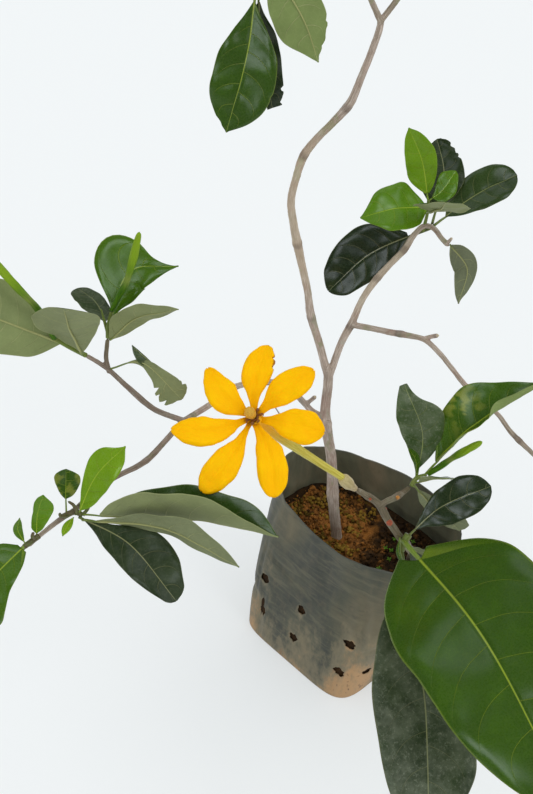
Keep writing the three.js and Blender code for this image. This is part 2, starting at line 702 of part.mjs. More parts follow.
function anthers() {
  const throat = vector(FLOWER.throat);
  const facing = vector(FLOWER.facing).normalize();
  const ring = new THREE.TorusGeometry(2.1, 0.55, 4, 14);
  ring.applyQuaternion(new THREE.Quaternion().setFromUnitVectors(new THREE.Vector3(0, 0, 1), facing));
  const collar = throat.clone().addScaledVector(facing, 2.6);
  ring.translate(...collar.toArray());
  const arms = LOBE_TIPS.map((tip, i) => {
    const next = vector(LOBE_TIPS[(i + 1) % LOBE_TIPS.length]);
    const outward = vector(tip).add(next).multiplyScalar(0.5).sub(throat);
    outward.addScaledVector(facing, -outward.dot(facing)).normalize();
    const at = (reach, rise) => {
      return collar.clone().addScaledVector(outward, reach).addScaledVector(facing, rise).toArray();
    };
    return limbSolid({ route: [at(2.1, 0), at(5, 2.5), at(8.5, 3.8)], radii: [0.6, 0.8, 0.45] }, 0, 4);
  });
  return join([solidOf(welded(ring)), ...arms]);
}

// ---------------------------------------------------------------- assembly

const LOOKS = {
  bag: { color: 0x4a4f4b, roughness: 0.6, metalness: 0 },
  soil: { color: 0x4a3320, roughness: 0.95, metalness: 0 },
  bark: { color: 0x8d7a6c, roughness: 0.85, metalness: 0 },
  greenBark: { color: 0x7a7a58, roughness: 0.7, metalness: 0 },
  oldLeaf: { color: 0x2f4a26, roughness: 0.35, metalness: 0 },
  youngLeaf: { color: 0x5f9a1e, roughness: 0.35, metalness: 0 },
  leafUnderside: { color: 0x6f7f5a, roughness: 0.6, metalness: 0 },
  petal: { color: 0xffb400, roughness: 0.5, metalness: 0 },
  calyx: { color: 0xc9b183, roughness: 0.7, metalness: 0 },
  stigma: { color: 0xe9a21a, roughness: 0.5, metalness: 0 },
  anther: { color: 0x5a3a1a, roughness: 0.7, metalness: 0 },
  bud: { color: 0x7fae12, roughness: 0.4, metalness: 0 },
};

const SPRAY_LOOKS = {
  upper_right_young_leaves: LOOKS.youngLeaf,
  left_twig_leaves: LOOKS.leafUnderside,
  left_tip_leaves: LOOKS.leafUnderside,
  left_low_leaf: LOOKS.leafUnderside,
};

const wood = limbsSolid(LIMBS);
const frontWood = limbsSolid(FRONT_LIMBS);
const woodRoom = join([limbsSolid(LIMBS, WOOD.gap), limbsSolid(FRONT_LIMBS, WOOD.gap)]);
const budRoom = join(Object.values(BUDS).map((bud) => budSolid(bud, WOOD.gap)));
const clearOfWoodAndBuds = (solid) => largestPiece(solid.subtract(woodRoom).subtract(budRoom));

const plant = new THREE.Group();
plant.add(partMesh('grow_bag', growBag(), LOOKS.bag));
plant.add(partMesh('soil', soilBody(woodRoom), LOOKS.soil));
plant.add(partMesh('woody_stem', wood, LOOKS.bark));
plant.add(partMesh('front_stem', frontWood, LOOKS.greenBark));

for (const [name, spray] of Object.entries(SPRAYS)) {
  const solid = clearOfWoodAndBuds(join(sprayBodies(spray)));
  plant.add(partMesh(name, solid, SPRAY_LOOKS[name] ?? LOOKS.oldLeaf));
}
for (const [name, bud] of Object.entries(BUDS)) {
  plant.add(partMesh(name, budSolid(bud, 0), LOOKS.bud));
}
plant.add(partMesh('calyx', limbSolid(CALYX, 0, 10), LOOKS.calyx));
plant.add(partMesh('corolla', corolla(), LOOKS.petal));
const style = { ...throatRoute(12, -FLOWER.throatDepth + 0.4), radii: [1.7, 1.5, 0.9, 0.9] };
plant.add(partMesh('stigma', limbSolid(style, 0, 8), LOOKS.stigma));
plant.add(partMesh('anthers', anthers(), LOOKS.anther));

export default plant;
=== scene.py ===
"""Potted golden gardenia in a black nursery grow bag, with one open flower.

Tables are in millimetres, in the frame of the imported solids; Blender objects are in metres.
"""

import math

import bmesh
import bpy
import numpy as np
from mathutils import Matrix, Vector, kdtree, noise


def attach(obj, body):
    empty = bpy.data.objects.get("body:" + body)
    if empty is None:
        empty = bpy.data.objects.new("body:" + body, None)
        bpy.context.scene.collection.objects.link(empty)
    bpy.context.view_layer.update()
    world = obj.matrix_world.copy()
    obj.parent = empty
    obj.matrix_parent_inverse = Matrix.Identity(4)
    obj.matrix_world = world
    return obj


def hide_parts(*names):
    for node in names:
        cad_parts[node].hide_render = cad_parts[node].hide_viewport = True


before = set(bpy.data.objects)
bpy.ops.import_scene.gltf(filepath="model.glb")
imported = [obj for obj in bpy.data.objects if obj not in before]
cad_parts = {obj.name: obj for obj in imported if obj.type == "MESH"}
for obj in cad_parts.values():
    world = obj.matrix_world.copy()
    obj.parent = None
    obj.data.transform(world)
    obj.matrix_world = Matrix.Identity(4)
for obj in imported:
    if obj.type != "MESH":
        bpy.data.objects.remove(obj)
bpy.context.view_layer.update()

bl_info = {
    "name": "Potted Gardenia",
    "version": (1, 0, 0),
    "blender": (4, 5, 0),
    "location": "3D View > Sidebar > Gardenia",
    "description": "Builds a golden gardenia in a nursery grow bag, piece by piece",
    "category": "Add Mesh",
}

MM = 0.001
BODY = "root"

# ---- the plant's sizes, millimetres


def limb(radii, knots, *route):
    return {"radii": radii, "knots": knots, "route": route}


def shoot(radii, *route):
    return {"radii": radii, "knots": (), "route": route}


def leaf(start, middle, tip, face, width, age, **shape):
    return {"route": (start, middle, tip), "face": face, "width": width, "age": age, **shape}


LIMBS = {
    "trunk": limb((5.2, 3.6), (0.42, 0.75),
        (1, 9, 62), (0, 8, 100), (-5, 6, 147), (-9, 4, 195), (-15, 2, 236), (-14, 1, 266), (-14, 0, 283)),
    "leader": limb((3.1, 2.1), (0.2, 0.42, 0.66, 0.8),
        (-14, 1, 272), (-21, 0, 301), (-28, -2, 327), (-31, -5, 349), (-36, -8, 374), (-41, -12, 401),
        (-43, -15, 419), (-40, -18, 437), (-36, -20, 451), (-29, -22, 462), (-19, -24, 474),
        (-11, -26, 485), (-6, -28, 500), (-1, -30, 516), (2, -32, 529), (2, -33, 535)),
    "leader_left_tip": limb((1.9, 1.5), (0.4,),
        (2, -33, 532), (-4, -38, 544), (-11, -45, 561), (-22, -50, 576), (-36, -50, 583), (-50, -46, 579),
        (-58, -44, 571)),
    "leader_right_tip": limb((1.8, 1.5), (0.5,), (2, -33, 532), (10, -30, 542), (21, -25, 557), (29, -18, 573)),
    "right_arm": limb((2.9, 1.8), (0.3, 0.55, 0.72),
        (-14, 1, 270), (-6, 2, 302), (1, 5, 317), (7, 8, 333), (15, 12, 345), (25, 16, 356), (35, 20, 366),
        (40, 22, 375), (47, 24, 381), (53, 22, 380), (58, 18, 375), (63, 14, 371)),
    "right_arm_stub": limb((1.6, 1.1), (), (61, 15, 372), (64, 12, 379)),
    "right_branch": limb((2.2, 1.5), (0.22, 0.62, 0.85),
        (0, 5, 315), (16, -5, 318), (26, -12, 320), (36, -20, 323), (46, -28, 325), (55, -38, 321),
        (63, -48, 315), (71, -58, 309), (89, -75, 300), (97, -83, 292), (110, -95, 284), (118, -103, 279)),
    "right_branch_stub": limb((1.7, 1.4), (1,), (45, -27, 325), (49, -29, 328), (54, -33, 332)),
    "left_branch": limb((2.6, 2.0), (0.3, 0.7),
        (-14, 2, 234), (-24, 5, 238), (-31, 3.5, 248), (-45, -12, 276), (-61, -31, 292), (-77, -52, 305),
        (-92, -83, 315), (-108, -109, 322)),
    "left_branch_stub": limb((1.8, 1.5), (1,), (-28, 5, 246), (-25, 3.5, 250.5), (-22, 2.4, 254.5)),
    "lower_twig": limb((1.9, 1.3), (0.28, 0.62, 0.8),
        (-107, -108, 322), (-114, -118, 320), (-126, -135, 316), (-132, -142, 316), (-143, -152, 317),
        (-153, -164, 317), (-162, -178, 317), (-169, -186, 317), (-178, -198, 317), (-183, -206, 317)),
    "upper_twig": limb((1.9, 1.4), (0.45,),
        (-107, -108, 322), (-115, -111, 328), (-124, -114, 336), (-137, -115, 352), (-148, -114, 365),
        (-159, -116, 376)),
    "upper_twig_spur": limb((1.6, 1.3), (), (-147, -114, 362), (-148, -113, 371), (-147, -112, 379), (-146, -111, 384)),
    "dead_twig": limb((1.1, 0.6), (0.5,),
        (-8, 4, 178), (-19, -4, 197), (-30, -9, 212), (-42, -11, 234), (-50, -12, 252), (-57, -17, 268)),
}
FRONT_LIMBS = {
    "riser": limb((3.4, 2.4), (0.45, 0.8),
        (60, -8, 66), (57, -16, 100), (53, -43, 139), (42, -83, 185), (32, -123, 231), (23, -153, 267),
        (19, -162, 279)),
    "flower_twig": limb((2.4, 1.7), (0.45, 0.75), (20, -161, 277), (12, -158, 289), (6, -155, 299), (-3, -154, 306),
        (-7.5, -154, 309.6)),
    "side_twig": limb((1.9, 1.5), (0.5,), (7, -155.5, 298), (10.6, -153.5, 299), (17, -149, 298.5), (26, -142, 300)),
}

# Each leaf: its stalk's foot, middle and tip, the side its upper face looks to, width, and age from 0, old
# and dark, to 1, fresh lime. left and right are its half widths at even steps from the blade's foot to its
# tip, seen on the upper face with the tip up; cuff is a margin that turns over: side, where it starts across
# and how far it turns, and from where to where along the leaf.
# A leaf's grey smears and specks stand partly for real dust and partly for painted grey sheen.
SPRAYS = {
    "top_left_leaves": ([shoot((1.4, 1.1), (-57, -44, 572), (-62, -43, 564), (-63, -43, 556), (-62, -43, 549))], [
        leaf((-63, -44, 554), (-68, -63, 524), (-79, -74, 488), (-0.1, -0.85, 0.5), 34, 0.36, wave=0.7, left=(0.5, 4,
             8, 12, 15.5, 17.5, 18, 17, 14.5, 9, 0), right=(0.5, 4, 8, 11, 14, 15, 15, 15, 13, 7.5, 0), torn=((1, 0.87,
             0.96, 1.6), (-1, 0.6, 0.72, 0.4))),
        leaf((-62, -42, 552), (-61, -42, 520), (-55, -46, 490), (0.3, -0.8, 0.5), 27, 0.02, wave=0.6, left=(0.5, 2.5,
             5.5, 8.5, 10.2, 10.3, 10.2, 9.8, 9, 7.8, 6), right=(0.5, 4.5, 6.2, 7.2, 8.5, 9.2, 10.2, 10.8, 10, 7.5, 3),
             torn=((-1, 0.8, 1.1, 1.2), (1, 0.8, 1.1, 1.2))),
        leaf((-59, -44, 567), (-39, -51, 538), (-31, -52, 517), (0.2, 0.8, -0.55), 28, 0.45, fold=0.12, wave=0.8,
             left=(1, 6, 10.5, 13, 14.2, 15, 15, 13.8, 10.5, 5.2, 0), right=(1, 7, 10.5, 12.2, 12.8, 12.5, 11.8, 10,
             7.2, 3, 0), torn=((1, 0.6, 0.97, 0.6),)),
        leaf((-60, -44, 568), (-84, -46, 588), (-110, -52, 590), (0, -0.3, 1), 30, 0.3, fold=0.15, wave=0.8),
        leaf((-58, -44, 570), (-62, -16, 588), (-68, 12, 588), (0, 0.3, 1), 28, 0.25, fold=0.15, wave=0.8),
    ]),
    "top_right_leaves": ([shoot((1.5, 1.0), (29, -18, 573), (31, -15, 584), (32, -13, 600))], [
        leaf((30, -16, 580), (54, -12, 600), (84, -14, 604), (-0.3, 0, 1), 32, 0.3, fold=0.15, wave=0.8),
        leaf((30, -16, 581), (12, 4, 602), (-10, 24, 606), (0.3, 0.2, 1), 32, 0.35, fold=0.15, wave=0.8),
        leaf((32, -13, 596), (42, 8, 618), (52, 34, 628), (-0.3, -0.3, 1), 28, 0.55, fold=0.2, wave=0.8),
        leaf((32, -13, 597), (20, -32, 622), (2, -50, 636), (0.4, 0.5, 1), 26, 0.6, fold=0.2, wave=0.8),
    ]),
    "upper_right_young_leaves": ([shoot((1.3, 1.0), (46, 23.5, 377), (48, 25, 389), (48, 26, 399))], [
        leaf((48, 26, 397), (43, 35, 421), (33, 41, 442), (-0.2, -0.75, 0.6), 22, 0.82, fold=0.25, wave=0.5, left=(1.5,
             6, 9.5, 11, 11, 10.8, 10, 8.8, 7, 4.5, 0), right=(1.5, 4.5, 6.5, 8, 9, 9.8, 9.8, 8.5, 7, 4.5, 0)),
        leaf((48, 25, 394), (25, 14, 399), (2, 6, 396), (-0.1, -0.6, 0.8), 31, 0.7, wave=0.7, stalk=0.03, left=(2, 8,
             13, 15, 16, 17, 16, 14.5, 11, 6.5, 0), right=(2, 10, 16, 17.5, 17, 16.5, 15, 12.8, 8.5, 4, 0)),
        leaf((48, 26, 398), (57, 28, 405), (65, 33, 416), (-0.3, -0.75, 0.6), 15, 0.68, fold=0.15, wave=0.3, left=(0.5,
             2, 3.5, 5.2, 6, 6.8, 7.2, 7.5, 6.5, 4, 2), right=(0.5, 5, 7, 7.8, 8.2, 8.2, 7.3, 6, 4.8, 3.5, 2),
             rounded=0.1),
        leaf((48, 25, 390), (52, 3, 405), (51, -18, 419), (0.1, 0.66, 0.75), 36, 0.3, fold=0.06, wave=0.5),
    ]),
    "upper_right_old_leaves": ([shoot((1.9, 1.7), (50, 23.5, 381), (54.5, 21.5, 379.5))], [
        leaf((53, 24, 381), (83, 41, 396), (108, 44, 408), (-0.3, -0.6, 0.75), 33, 0.2, wave=0.5, stalk=0.16,
             left=(0.5, 5, 8.2, 10.8, 13, 14.5, 15.2, 15.2, 13.5, 10.5, 8), right=(0.5, 4.8, 7.8, 10.2, 12, 12.8, 13.2,
             13, 12.2, 9.5, 7), rounded=0.12),
        leaf((52, 25, 382), (62, 56, 402), (60, 86, 415), (-0.2, -0.5, 0.85), 34, 0.08, wave=1.4, stalk=0.16, left=(1,
             8, 13, 16, 17, 17, 15.5, 13.5, 11.5, 9, 6), right=(1, 6, 10, 13, 14, 13.5, 12.5, 11, 10, 8, 6),
             rounded=0.12, torn=((1, 0.55, 1.1, 0.9), (-1, 0.5, 1.1, 0.5))),
        leaf((52, 25, 379), (12, 28, 357), (-15, 21, 332), (-0.3, -0.8, 0.5), 43, 0.03, wave=0.6, stalk=0.2, left=(2,
             7.5, 12, 15, 16.2, 16.2, 15.8, 14.5, 13, 11, 7), right=(3, 8.5, 13, 18, 20, 20, 19.2, 17.5, 15, 12, 7),
             rounded=0.14),
    ]),
    "upper_right_hanging_leaf": ([], [
        leaf((63.5, 15, 372), (75, 5.5, 360), (69.5, -7, 339.5), (0.5, 0.8, 0.1), 22, 0.12, wave=0.3, stalk=0.02,
             left=(1, 7, 11, 12, 11.8, 10.2, 9, 7.5, 5.8, 3.5, 0), right=(1, 6, 8, 8.5, 7.5, 6, 5, 4, 3, 1.2, 0)),
    ]),
    "right_end_leaves": ([shoot((1.4, 1.1), (117, -102, 279.5), (123, -108, 277), (128, -112, 276))], [
        leaf((121, -106, 278), (146, -122, 288), (176, -134, 286), (-0.2, -0.1, 1), 32, 0.35, fold=0.15, wave=0.8),
        leaf((121, -106, 278), (138, -88, 294), (154, -66, 300), (-0.3, -0.3, 1), 30, 0.3, fold=0.15, wave=0.8),
        leaf((127, -111, 276), (138, -134, 270), (152, -158, 256), (0.1, -0.3, 1), 28, 0.55, fold=0.15, wave=0.8),
        leaf((127, -111, 276), (146, -104, 266), (168, -98, 252), (0.3, 0.1, 1), 26, 0.5, fold=0.15, wave=0.8),
    ]),
    "left_twig_leaves": ([
        shoot((1.5, 1.2), (-146, -111, 384), (-145.5, -110, 390), (-143, -107, 399)),
        shoot((1.3, 0.5), (-146, -110, 387), (-148, -107, 394), (-149, -106, 400)),
        ], [
        leaf((-145.5, -109.5, 389.5), (-133, -91, 414.5), (-106, -94.5, 420), (-0.1, -0.8, 0.55), 36, 0.55, wave=0.4,
             stalk=0.1, left=(0.5, 2.5, 6.5, 12.5, 20, 23, 15.5, 6.5, 2.8, 1, 0), right=(0.5, 4, 9, 11.5, 12.5, 12.5,
             12.2, 9.8, 6, 2.5, 0)),
        leaf((-145, -111.5, 383), (-130, -112.5, 398), (-105, -119, 408), (-0.15, 0.85, 0.5), 24, 0.3, wave=0.4,
             stalk=0.02, left=(1.5, 5.5, 8, 9, 9.5, 9, 8.2, 7, 5.5, 3, 0), right=(1.5, 5, 8.5, 10.8, 11.5, 12.2, 12.2,
             11, 9.5, 6.5, 0)),
        leaf((-146, -109, 390), (-155, -90, 394), (-167, -77, 395), (0.4, -0.25, 0.85), 17, 0.2, fold=0.12, dust=0.7,
             wave=0.3, rounded=0.16, left=(1, 5, 8.5, 10, 10.5, 10.5, 10, 9.5, 8.5, 7.5, 6), right=(1, 4, 6, 6.5, 6.5,
             6.5, 6.2, 6, 5.8, 5, 4)),
    ]),
    "left_tip_leaves": ([shoot((1.5, 1.2), (-158.5, -116, 375.5), (-166, -119, 383), (-173, -121, 390))], [
        leaf((-160, -117, 377), (-162, -129, 402), (-161, -142, 423), (0.05, 0.9, 0.43), 37, 0.25, wave=0.6,
             stalk=0.05, left=(1, 4.5, 7.5, 10, 12.5, 14.5, 16, 17, 17.5, 15, 9), right=(1, 3.5, 8, 11.5, 15, 18.5,
             19.5, 19, 16, 11, 7), rounded=0.12),
        leaf((-168, -119.5, 385), (-197, -124, 403), (-223, -128, 419), (-0.3, 0.78, -0.45), 38, 0.35, fold=0.15,
             wave=0.9, stalk=0.05, left=(1, 5, 9, 13.5, 17.5, 20, 21, 20, 16, 9, 0), right=(1, 8, 13, 15, 16.5, 18, 18,
             16, 12, 7, 0)),
    ]),
    "left_low_leaf": ([], [
        leaf((-146.5, -114, 364.6), (-128, -118, 372), (-105, -132, 357), (0.1, 0.8, -0.55), 17, 0.25, fold=0.15,
             wave=1.0, stalk=0.24, left=(0.4, 1, 1.8, 2.6, 3.6, 5, 7, 9, 10.5, 9, 3), right=(0.4, 1, 1.8, 2.6, 3.4,
             4.2, 5, 6, 7, 7.5, 6), rounded=0.05, torn=((-1, 0.55, 1.1, 2.4), (1, 0.75, 1.1, 1.0))),
        leaf((-122.5, -117, 371.5), (-128, -115, 376), (-133, -112, 379.5), (0.2, -0.8, 0.55), 6, 0.2, stalk=0.0,
             wave=0.2, dust=0.5, left=(3.4, 4, 4.4, 4.6, 4.6, 4.2, 3.6, 3, 2.2, 1.2, 0), right=(0.3, 0.4, 0.5, 0.6,
             0.6, 0.6, 0.6, 0.6, 0.5, 0.4, 0)),
    ]),
    "lower_left_leaves": ([shoot((1.9, 1.6), (-168, -184.5, 317.5), (-162, -181, 318), (-157, -184, 318.5)),
        shoot((1.5, 0.7), (-160, -183, 318), (-162, -180, 322), (-165, -179, 324)),
        shoot((1.4, 0.7), (-166, -184, 318), (-168, -187, 321), (-168, -188, 324)),
        shoot((1.2, 0.6), (-157, -184, 318.5), (-154, -181, 321), (-153, -179, 324))], [
        leaf((-159, -183, 319), (-149, -176, 339), (-132, -172, 357), (-0.3, -0.75, 0.6), 18, 0.86, fold=0.2, wave=0.5,
             stalk=0.04, left=(0.5, 1.8, 3.2, 4.5, 6, 7.5, 9, 9, 7, 3, 0), right=(0.5, 5, 7.5, 9, 10, 10.2, 10.2, 9.8,
             8, 5.5, 0)),
        leaf((-166, -182, 319), (-166, -177, 328), (-165, -172, 341), (0, -0.8, 0.6), 15, 0.4, fold=0.12, wave=0.2,
             stalk=0.3, blotch=(0.45, 0.5, 5), left=(0.5, 2, 3.2, 4.2, 5, 5.6, 6, 6.2, 5.6, 4.5, 3), right=(0.5, 3.5,
             5, 6, 6.8, 7.5, 8, 8, 7.6, 6.5, 4), rounded=0.2),
        leaf((-159, -184, 317), (-130, -206, 320), (-103, -238, 312), (0.1, -0.7, 0.7), 28, 0.08, wave=0.7, stalk=0.05,
             dust=0.25, left=(0.3, 1.5, 3, 5, 9, 13, 15, 15, 13.5, 10, 6), right=(0.3, 3, 6.5, 9, 10.5, 11.2, 11.2,
             10.5, 8.5, 6, 3.5), rounded=0.05),
        leaf((-157, -184, 319), (-92, -204, 334.5), (-52, -216, 334.5), (-0.1, 0.3, 0.95), 18, 0.3, fold=2.1, wave=0.6,
             stalk=0.1, left=(0.5, 2.6, 5, 6.4, 7.2, 7.6, 7.4, 6.9, 6.2, 4.2, 0), right=(0.5, 4.5, 7, 8.4, 9.2, 9.8,
             9.4, 7.8, 5, 2, 0)),
        leaf((-157, -186, 317), (-107, -211, 335), (-71.5, -236, 334.5), (0, 0.95, -0.1), 27, 0.2, wave=0.8, stalk=0.1,
             left=(0.4, 1.2, 2.4, 3.4, 4.2, 4.6, 5, 5, 4, 2.4, 0), right=(0.4, 2, 3.8, 5.6, 7, 8.4, 9.6, 10, 8.4, 5,
             0)),
        leaf((-162, -184, 317), (-164, -190, 317), (-166, -197, 316), (0, 0, 1), 5, 0.9, wave=0, stalk=0.02),
    ]),
    "lower_tip_leaves": ([shoot((1.8, 1.6), (-178, -199, 318), (-185, -207, 317.5)),
        shoot((1.5, 0.8), (-180, -201, 318), (-180, -203, 322), (-179, -203, 325)),
        shoot((1.3, 0.8), (-184, -206, 317.5), (-188, -206, 314), (-190, -206, 312))], [
        leaf((-184, -206, 318), (-197, -227, 316), (-212, -255, 305), (0, -0.7, 0.7), 34, 0.5, fold=0.12, wave=0.8,
             stalk=0.04, left=(3, 6.5, 8.5, 10, 11.5, 13.5, 15.5, 17, 15, 9, 0), right=(3, 9, 10.8, 11.2, 10.5, 10,
             9.5, 8, 6, 3.5, 0)),
        leaf((-184, -206, 317), (-206, -220, 292), (-214, -241, 268), (-0.3, -0.7, 0.6), 26, 0.35, fold=0.15, wave=0.8,
             stalk=0.08),
        leaf((-179, -199, 319), (-178, -194, 329), (-174, -191, 340), (0.1, -0.9, 0.4), 9, 0.72, fold=0.15, wave=0.5,
             stalk=0.04, left=(0.5, 2.6, 2.8, 2.8, 2.6, 2.4, 2.8, 3, 3, 2.4, 1), right=(0.5, 3.2, 4.4, 5.6, 6.4, 7,
             7.4, 7.6, 7, 5.2, 1.6), rounded=0.12),
        leaf((-184, -205, 319), (-187, -203, 327), (-185, -202, 334), (0.5, -0.7, 0.4), 5, 0.6, fold=0.2, wave=0,
             stalk=0.04),
    ]),
    "front_right_leaves": ([shoot((1.6, 1.3), (26.5, -142, 300.5), (29, -140, 304.5), (35, -140, 307.5))], [
        leaf((29, -140, 304), (32, -128, 328), (21, -117, 354), (-0.15, -0.8, 0.55), 32, 0.3, fold=0.3, dust=1.0,
             wave=0.6, left=(0.5, 3.5, 7.5, 9.8, 11.2, 12, 12, 11.8, 10, 7, 3), right=(0.5, 3.5, 6.5, 9, 11.5, 13.5,
             14.5, 11.5, 6, 3, 1.5), curl=6),
        leaf((33, -140, 306), (52, -137, 335), (92, -135, 371), (-0.56, -0.08, 0.82), 27, 0.47, fold=0.8, wave=0.7,
             stalk=0.14, blotch=(0.55, 0.42, 0.13), left=(0.5, 5.5, 10.5, 14.5, 16.5, 17, 15.5, 12, 8, 4, 0),
             right=(0.5, 3, 5, 6.5, 7.5, 8.5, 9, 8.5, 7, 4, 0), cuff=(1, 0.25, 2.5, 0.55, 1.3)),
        leaf((29, -140, 305), (28, -137.5, 316), (23, -136, 325), (0.6, -0.7, 0.3), 5.5, 0.46, fold=0.4, wave=0.2,
             stalk=0.1),
        leaf((28, -141, 302), (36, -149, 313), (44, -162.5, 325), (0.1, 0.6, 0.75), 16, 0.3, wave=0.4),
        leaf((27.5, -141, 301), (42, -141, 283), (58.5, -143, 265), (0.5, 0.8, 0.4), 26, 0.2, wave=0.4, rounded=0.12,
             left=(0.5, 4, 7, 9.5, 11, 12.5, 13.5, 14, 13, 11, 7), right=(0.5, 4, 7, 9.5, 11, 12.5, 13.5, 14, 13, 11,
             7)),
    ]),
    "front_tip_leaves": ([shoot((2.4, 2.3), (24, -163, 282), (21, -165.5, 277), (20, -166, 271))], [
        leaf((24, -163, 281), (42, -155, 296), (70, -151, 309), (-0.3, -0.7, 0.6), 24, 0.05, fold=0.12, wave=0.5,
             stalk=0.1, left=(0.5, 2.5, 4.5, 6.5, 8.8, 9.8, 11, 12, 10.8, 8.5, 5), right=(0.5, 3, 7, 10, 12, 12.2,
             12.2, 11.8, 10.5, 8, 5), rounded=0.1),
        leaf((22, -164, 275), (38, -160, 251), (58, -158, 226), (0.5, -0.7, 0.4), 24, 0.15, fold=0.15, wave=0.6,
             stalk=0.1),
        leaf((21, -165, 279), (54, -237, 283), (89, -322, 253), (-0.36, -0.28, 0.85), 84, 0.42, fold=0.08, wave=1.8,
             stalk=0.1, left=(8, 30, 41, 44.5, 46, 45, 43, 38, 30, 18, 0), right=(9, 31, 39.5, 42, 40.5, 39, 37, 33,
             26, 15, 0), pairs=7.5, sweep=(4, 9)),
        leaf((18.5, -166.5, 283), (18.3, -170, 275), (22.5, -171.5, 265), (-0.6, -0.7, 0.3), 3.2, 0.42, stalk=0.02,
             wave=0.2, fold=0.5),
        leaf((22, -163, 273), (29, -162, 268), (37, -162, 262), (0.1, 0.75, 0.5), 13, 0.2, stalk=0.1, wave=0.4,
             rounded=0.2, left=(0.5, 3, 4.5, 5.5, 6, 6.5, 6.5, 6.5, 6, 5, 4), right=(0.5, 3, 4.5, 5.5, 6, 6.5, 6.5, 6,
             5.5, 5, 4)),
        leaf((20, -165, 273), (29, -233, 232), (27, -307, 190), (0.1, -0.5, 0.85), 57, 0.1, fold=0.08, wave=1.2,
             stalk=0.1, dust=1.0, left=(0.5, 4, 8, 12, 17, 22, 26, 27, 20, 11, 0), right=(0.5, 12, 21, 26, 29, 29,
             27.5, 25, 20, 12, 0), pairs=9),
    ]),
}

BUDS = {
    "left_twig_bud": ((-143, -107, 399.4), (-138.5, -106.5, 408), (-134, -106, 416), (-130, -103, 427),
                      (-125, -100, 444)),
    "left_tip_bud": ((-173.3, -121.1, 390.4), (-176, -121.5, 400), (-180, -122, 411), (-188, -123, 424),
                     (-202, -122, 446)),
    "front_bud": ((35.4, -140, 307.9), (41, -139, 312), (49, -138, 319), (55, -138.5, 324.5), (64, -139, 332)),
}
BUD_RADII = (1.4, 1.7, 2.0, 1.6, 2.1, 2.2, 2.0, 1.2)
BUD_SIDES, BUD_RIBS, BUD_TWIST = 30, 6, 1.4

THROAT = np.array((-65.0, -158.0, 365.0))
FACING = np.array((0.1, -0.56, 0.82)) / np.linalg.norm((0.1, -0.56, 0.82))
TUBE = shoot((1.9, 2.2, 2.8, 3.9), (-15, -156, 319.6), (-25.4, -154, 326.7), (-36.6, -151.5, 334), (-47.8, -152, 344),
             (-57.5, -155, 355.2), (-65, -158, 365))
# each lobe: its tip, how far its middle bows to its left, and its half widths from claw to tip
LOBES = (
    ((-57, -128, 391), 3.3, (1.6, 1.7, 2.2, 3.6, 5.8, 7.1, 7.9, 7.9, 6.9, 5.4, 4.6)),
    ((-33, -143, 385), 1.2, (1.6, 1.8, 2.6, 4.4, 6.6, 7.7, 8.1, 7.8, 7.0, 6.2, 5.2)),
    ((-28, -169, 364), 0.4, (1.6, 1.8, 2.4, 3.8, 6.2, 8.1, 9.1, 9.5, 9.1, 7.8, 6.6)),
    ((-54, -197, 344), 3.2, (1.6, 1.9, 2.9, 4.8, 6.6, 7.3, 7.8, 7.9, 7.4, 6.4, 5.2)),
    ((-91, -197, 348), 2.0, (1.6, 1.6, 2.0, 3.2, 5.2, 6.9, 7.8, 8.0, 7.5, 6.2, 4.6)),
    ((-107, -174, 370), 4.6, (1.6, 1.7, 2.2, 3.8, 5.8, 6.9, 7.7, 7.9, 7.1, 5.6, 3.8)),
    ((-89, -144, 387), 4.2, (1.6, 1.8, 3.2, 5.2, 7.2, 8.3, 8.3, 7.4, 6.2, 4.8, 3.6)),
)
CALYX = shoot((1.7, 2.3, 3.3, 3.4, 2.7), (-7.6, -154, 309.6), (-12.2, -155, 315), (-16, -156, 320.3))

BAG_BASE = (123.0, 112.0)
BAG_RIM = (168.0, 102.0)
BAG_RIM_CENTRE = (21.0, 5.0)
BAG_TURN = math.radians(-47)
BAG_SQUARENESS = (6.0, 2.15)
BAG_HEIGHT = 143.0
DRAIN_ROWS = ((30, (7, 41, 90, 108, 187, 221, 270, 288)), (62, (0, 44, 96, 180, 224, 276)))
SOIL_FILL = 0.7
# tan dirt on the film's corners: where, how far round and up it reaches, and how strong it is
STAINS = (((14.0, -84.0), 44.0, 85.0, 1.1), ((-78.0, -6.0), 30.0, 190.0, 0.8), ((64.0, 70.0), 34.0, 90.0, 0.8))

# ---- curves and meshes


def unit(v):
    return v / np.maximum(np.linalg.norm(v, axis=-1, keepdims=True), 1e-9)


def smooth(x, low, high):
    x = np.clip((x - low) / (high - low), 0, 1)
    return x * x * (3 - 2 * x)


def route_points(route, shares):
    """Points and directions at shares of a smooth route's length, and the length, as the solids take them."""
    p = np.asarray(route, float)
    p = np.vstack([2 * p[0] - p[1], p, 2 * p[-1] - p[-2]])
    pieces = []
    for a, b, c, d in zip(p, p[1:], p[2:], p[3:]):
        before, here, after = (max(np.linalg.norm(r - q), 1e-3) ** 0.5 for q, r in ((a, b), (b, c), (c, d)))
        leave = ((b - a) / before - (c - a) / (before + here) + (c - b) / here) * here
        meet = ((c - b) / here - (d - b) / (here + after) + (d - c) / after) * here
        t = np.linspace(0, 1, 24, endpoint=False)[:, None]
        pieces.append(b + t * leave + t**2 * (3 * (c - b) - 2 * leave - meet) + t**3 * (2 * (b - c) + leave + meet))
    line = np.vstack(pieces + [p[-2:-1]])
    run = np.concatenate([[0], np.cumsum(np.linalg.norm(np.diff(line, axis=0), axis=1))])

    def at(x):
        return np.stack([np.interp(x, run, line[:, k]) for k in range(3)], 1)

    x = np.asarray(shares, float) * run[-1]
    ahead, behind = np.minimum(x + 0.6, run[-1]), np.maximum(x - 0.6, 0)
    return at(x), unit(at(ahead) - at(behind)), run[-1]


def ring_angles(count):
    return np.arange(count) / count * 2 * math.pi


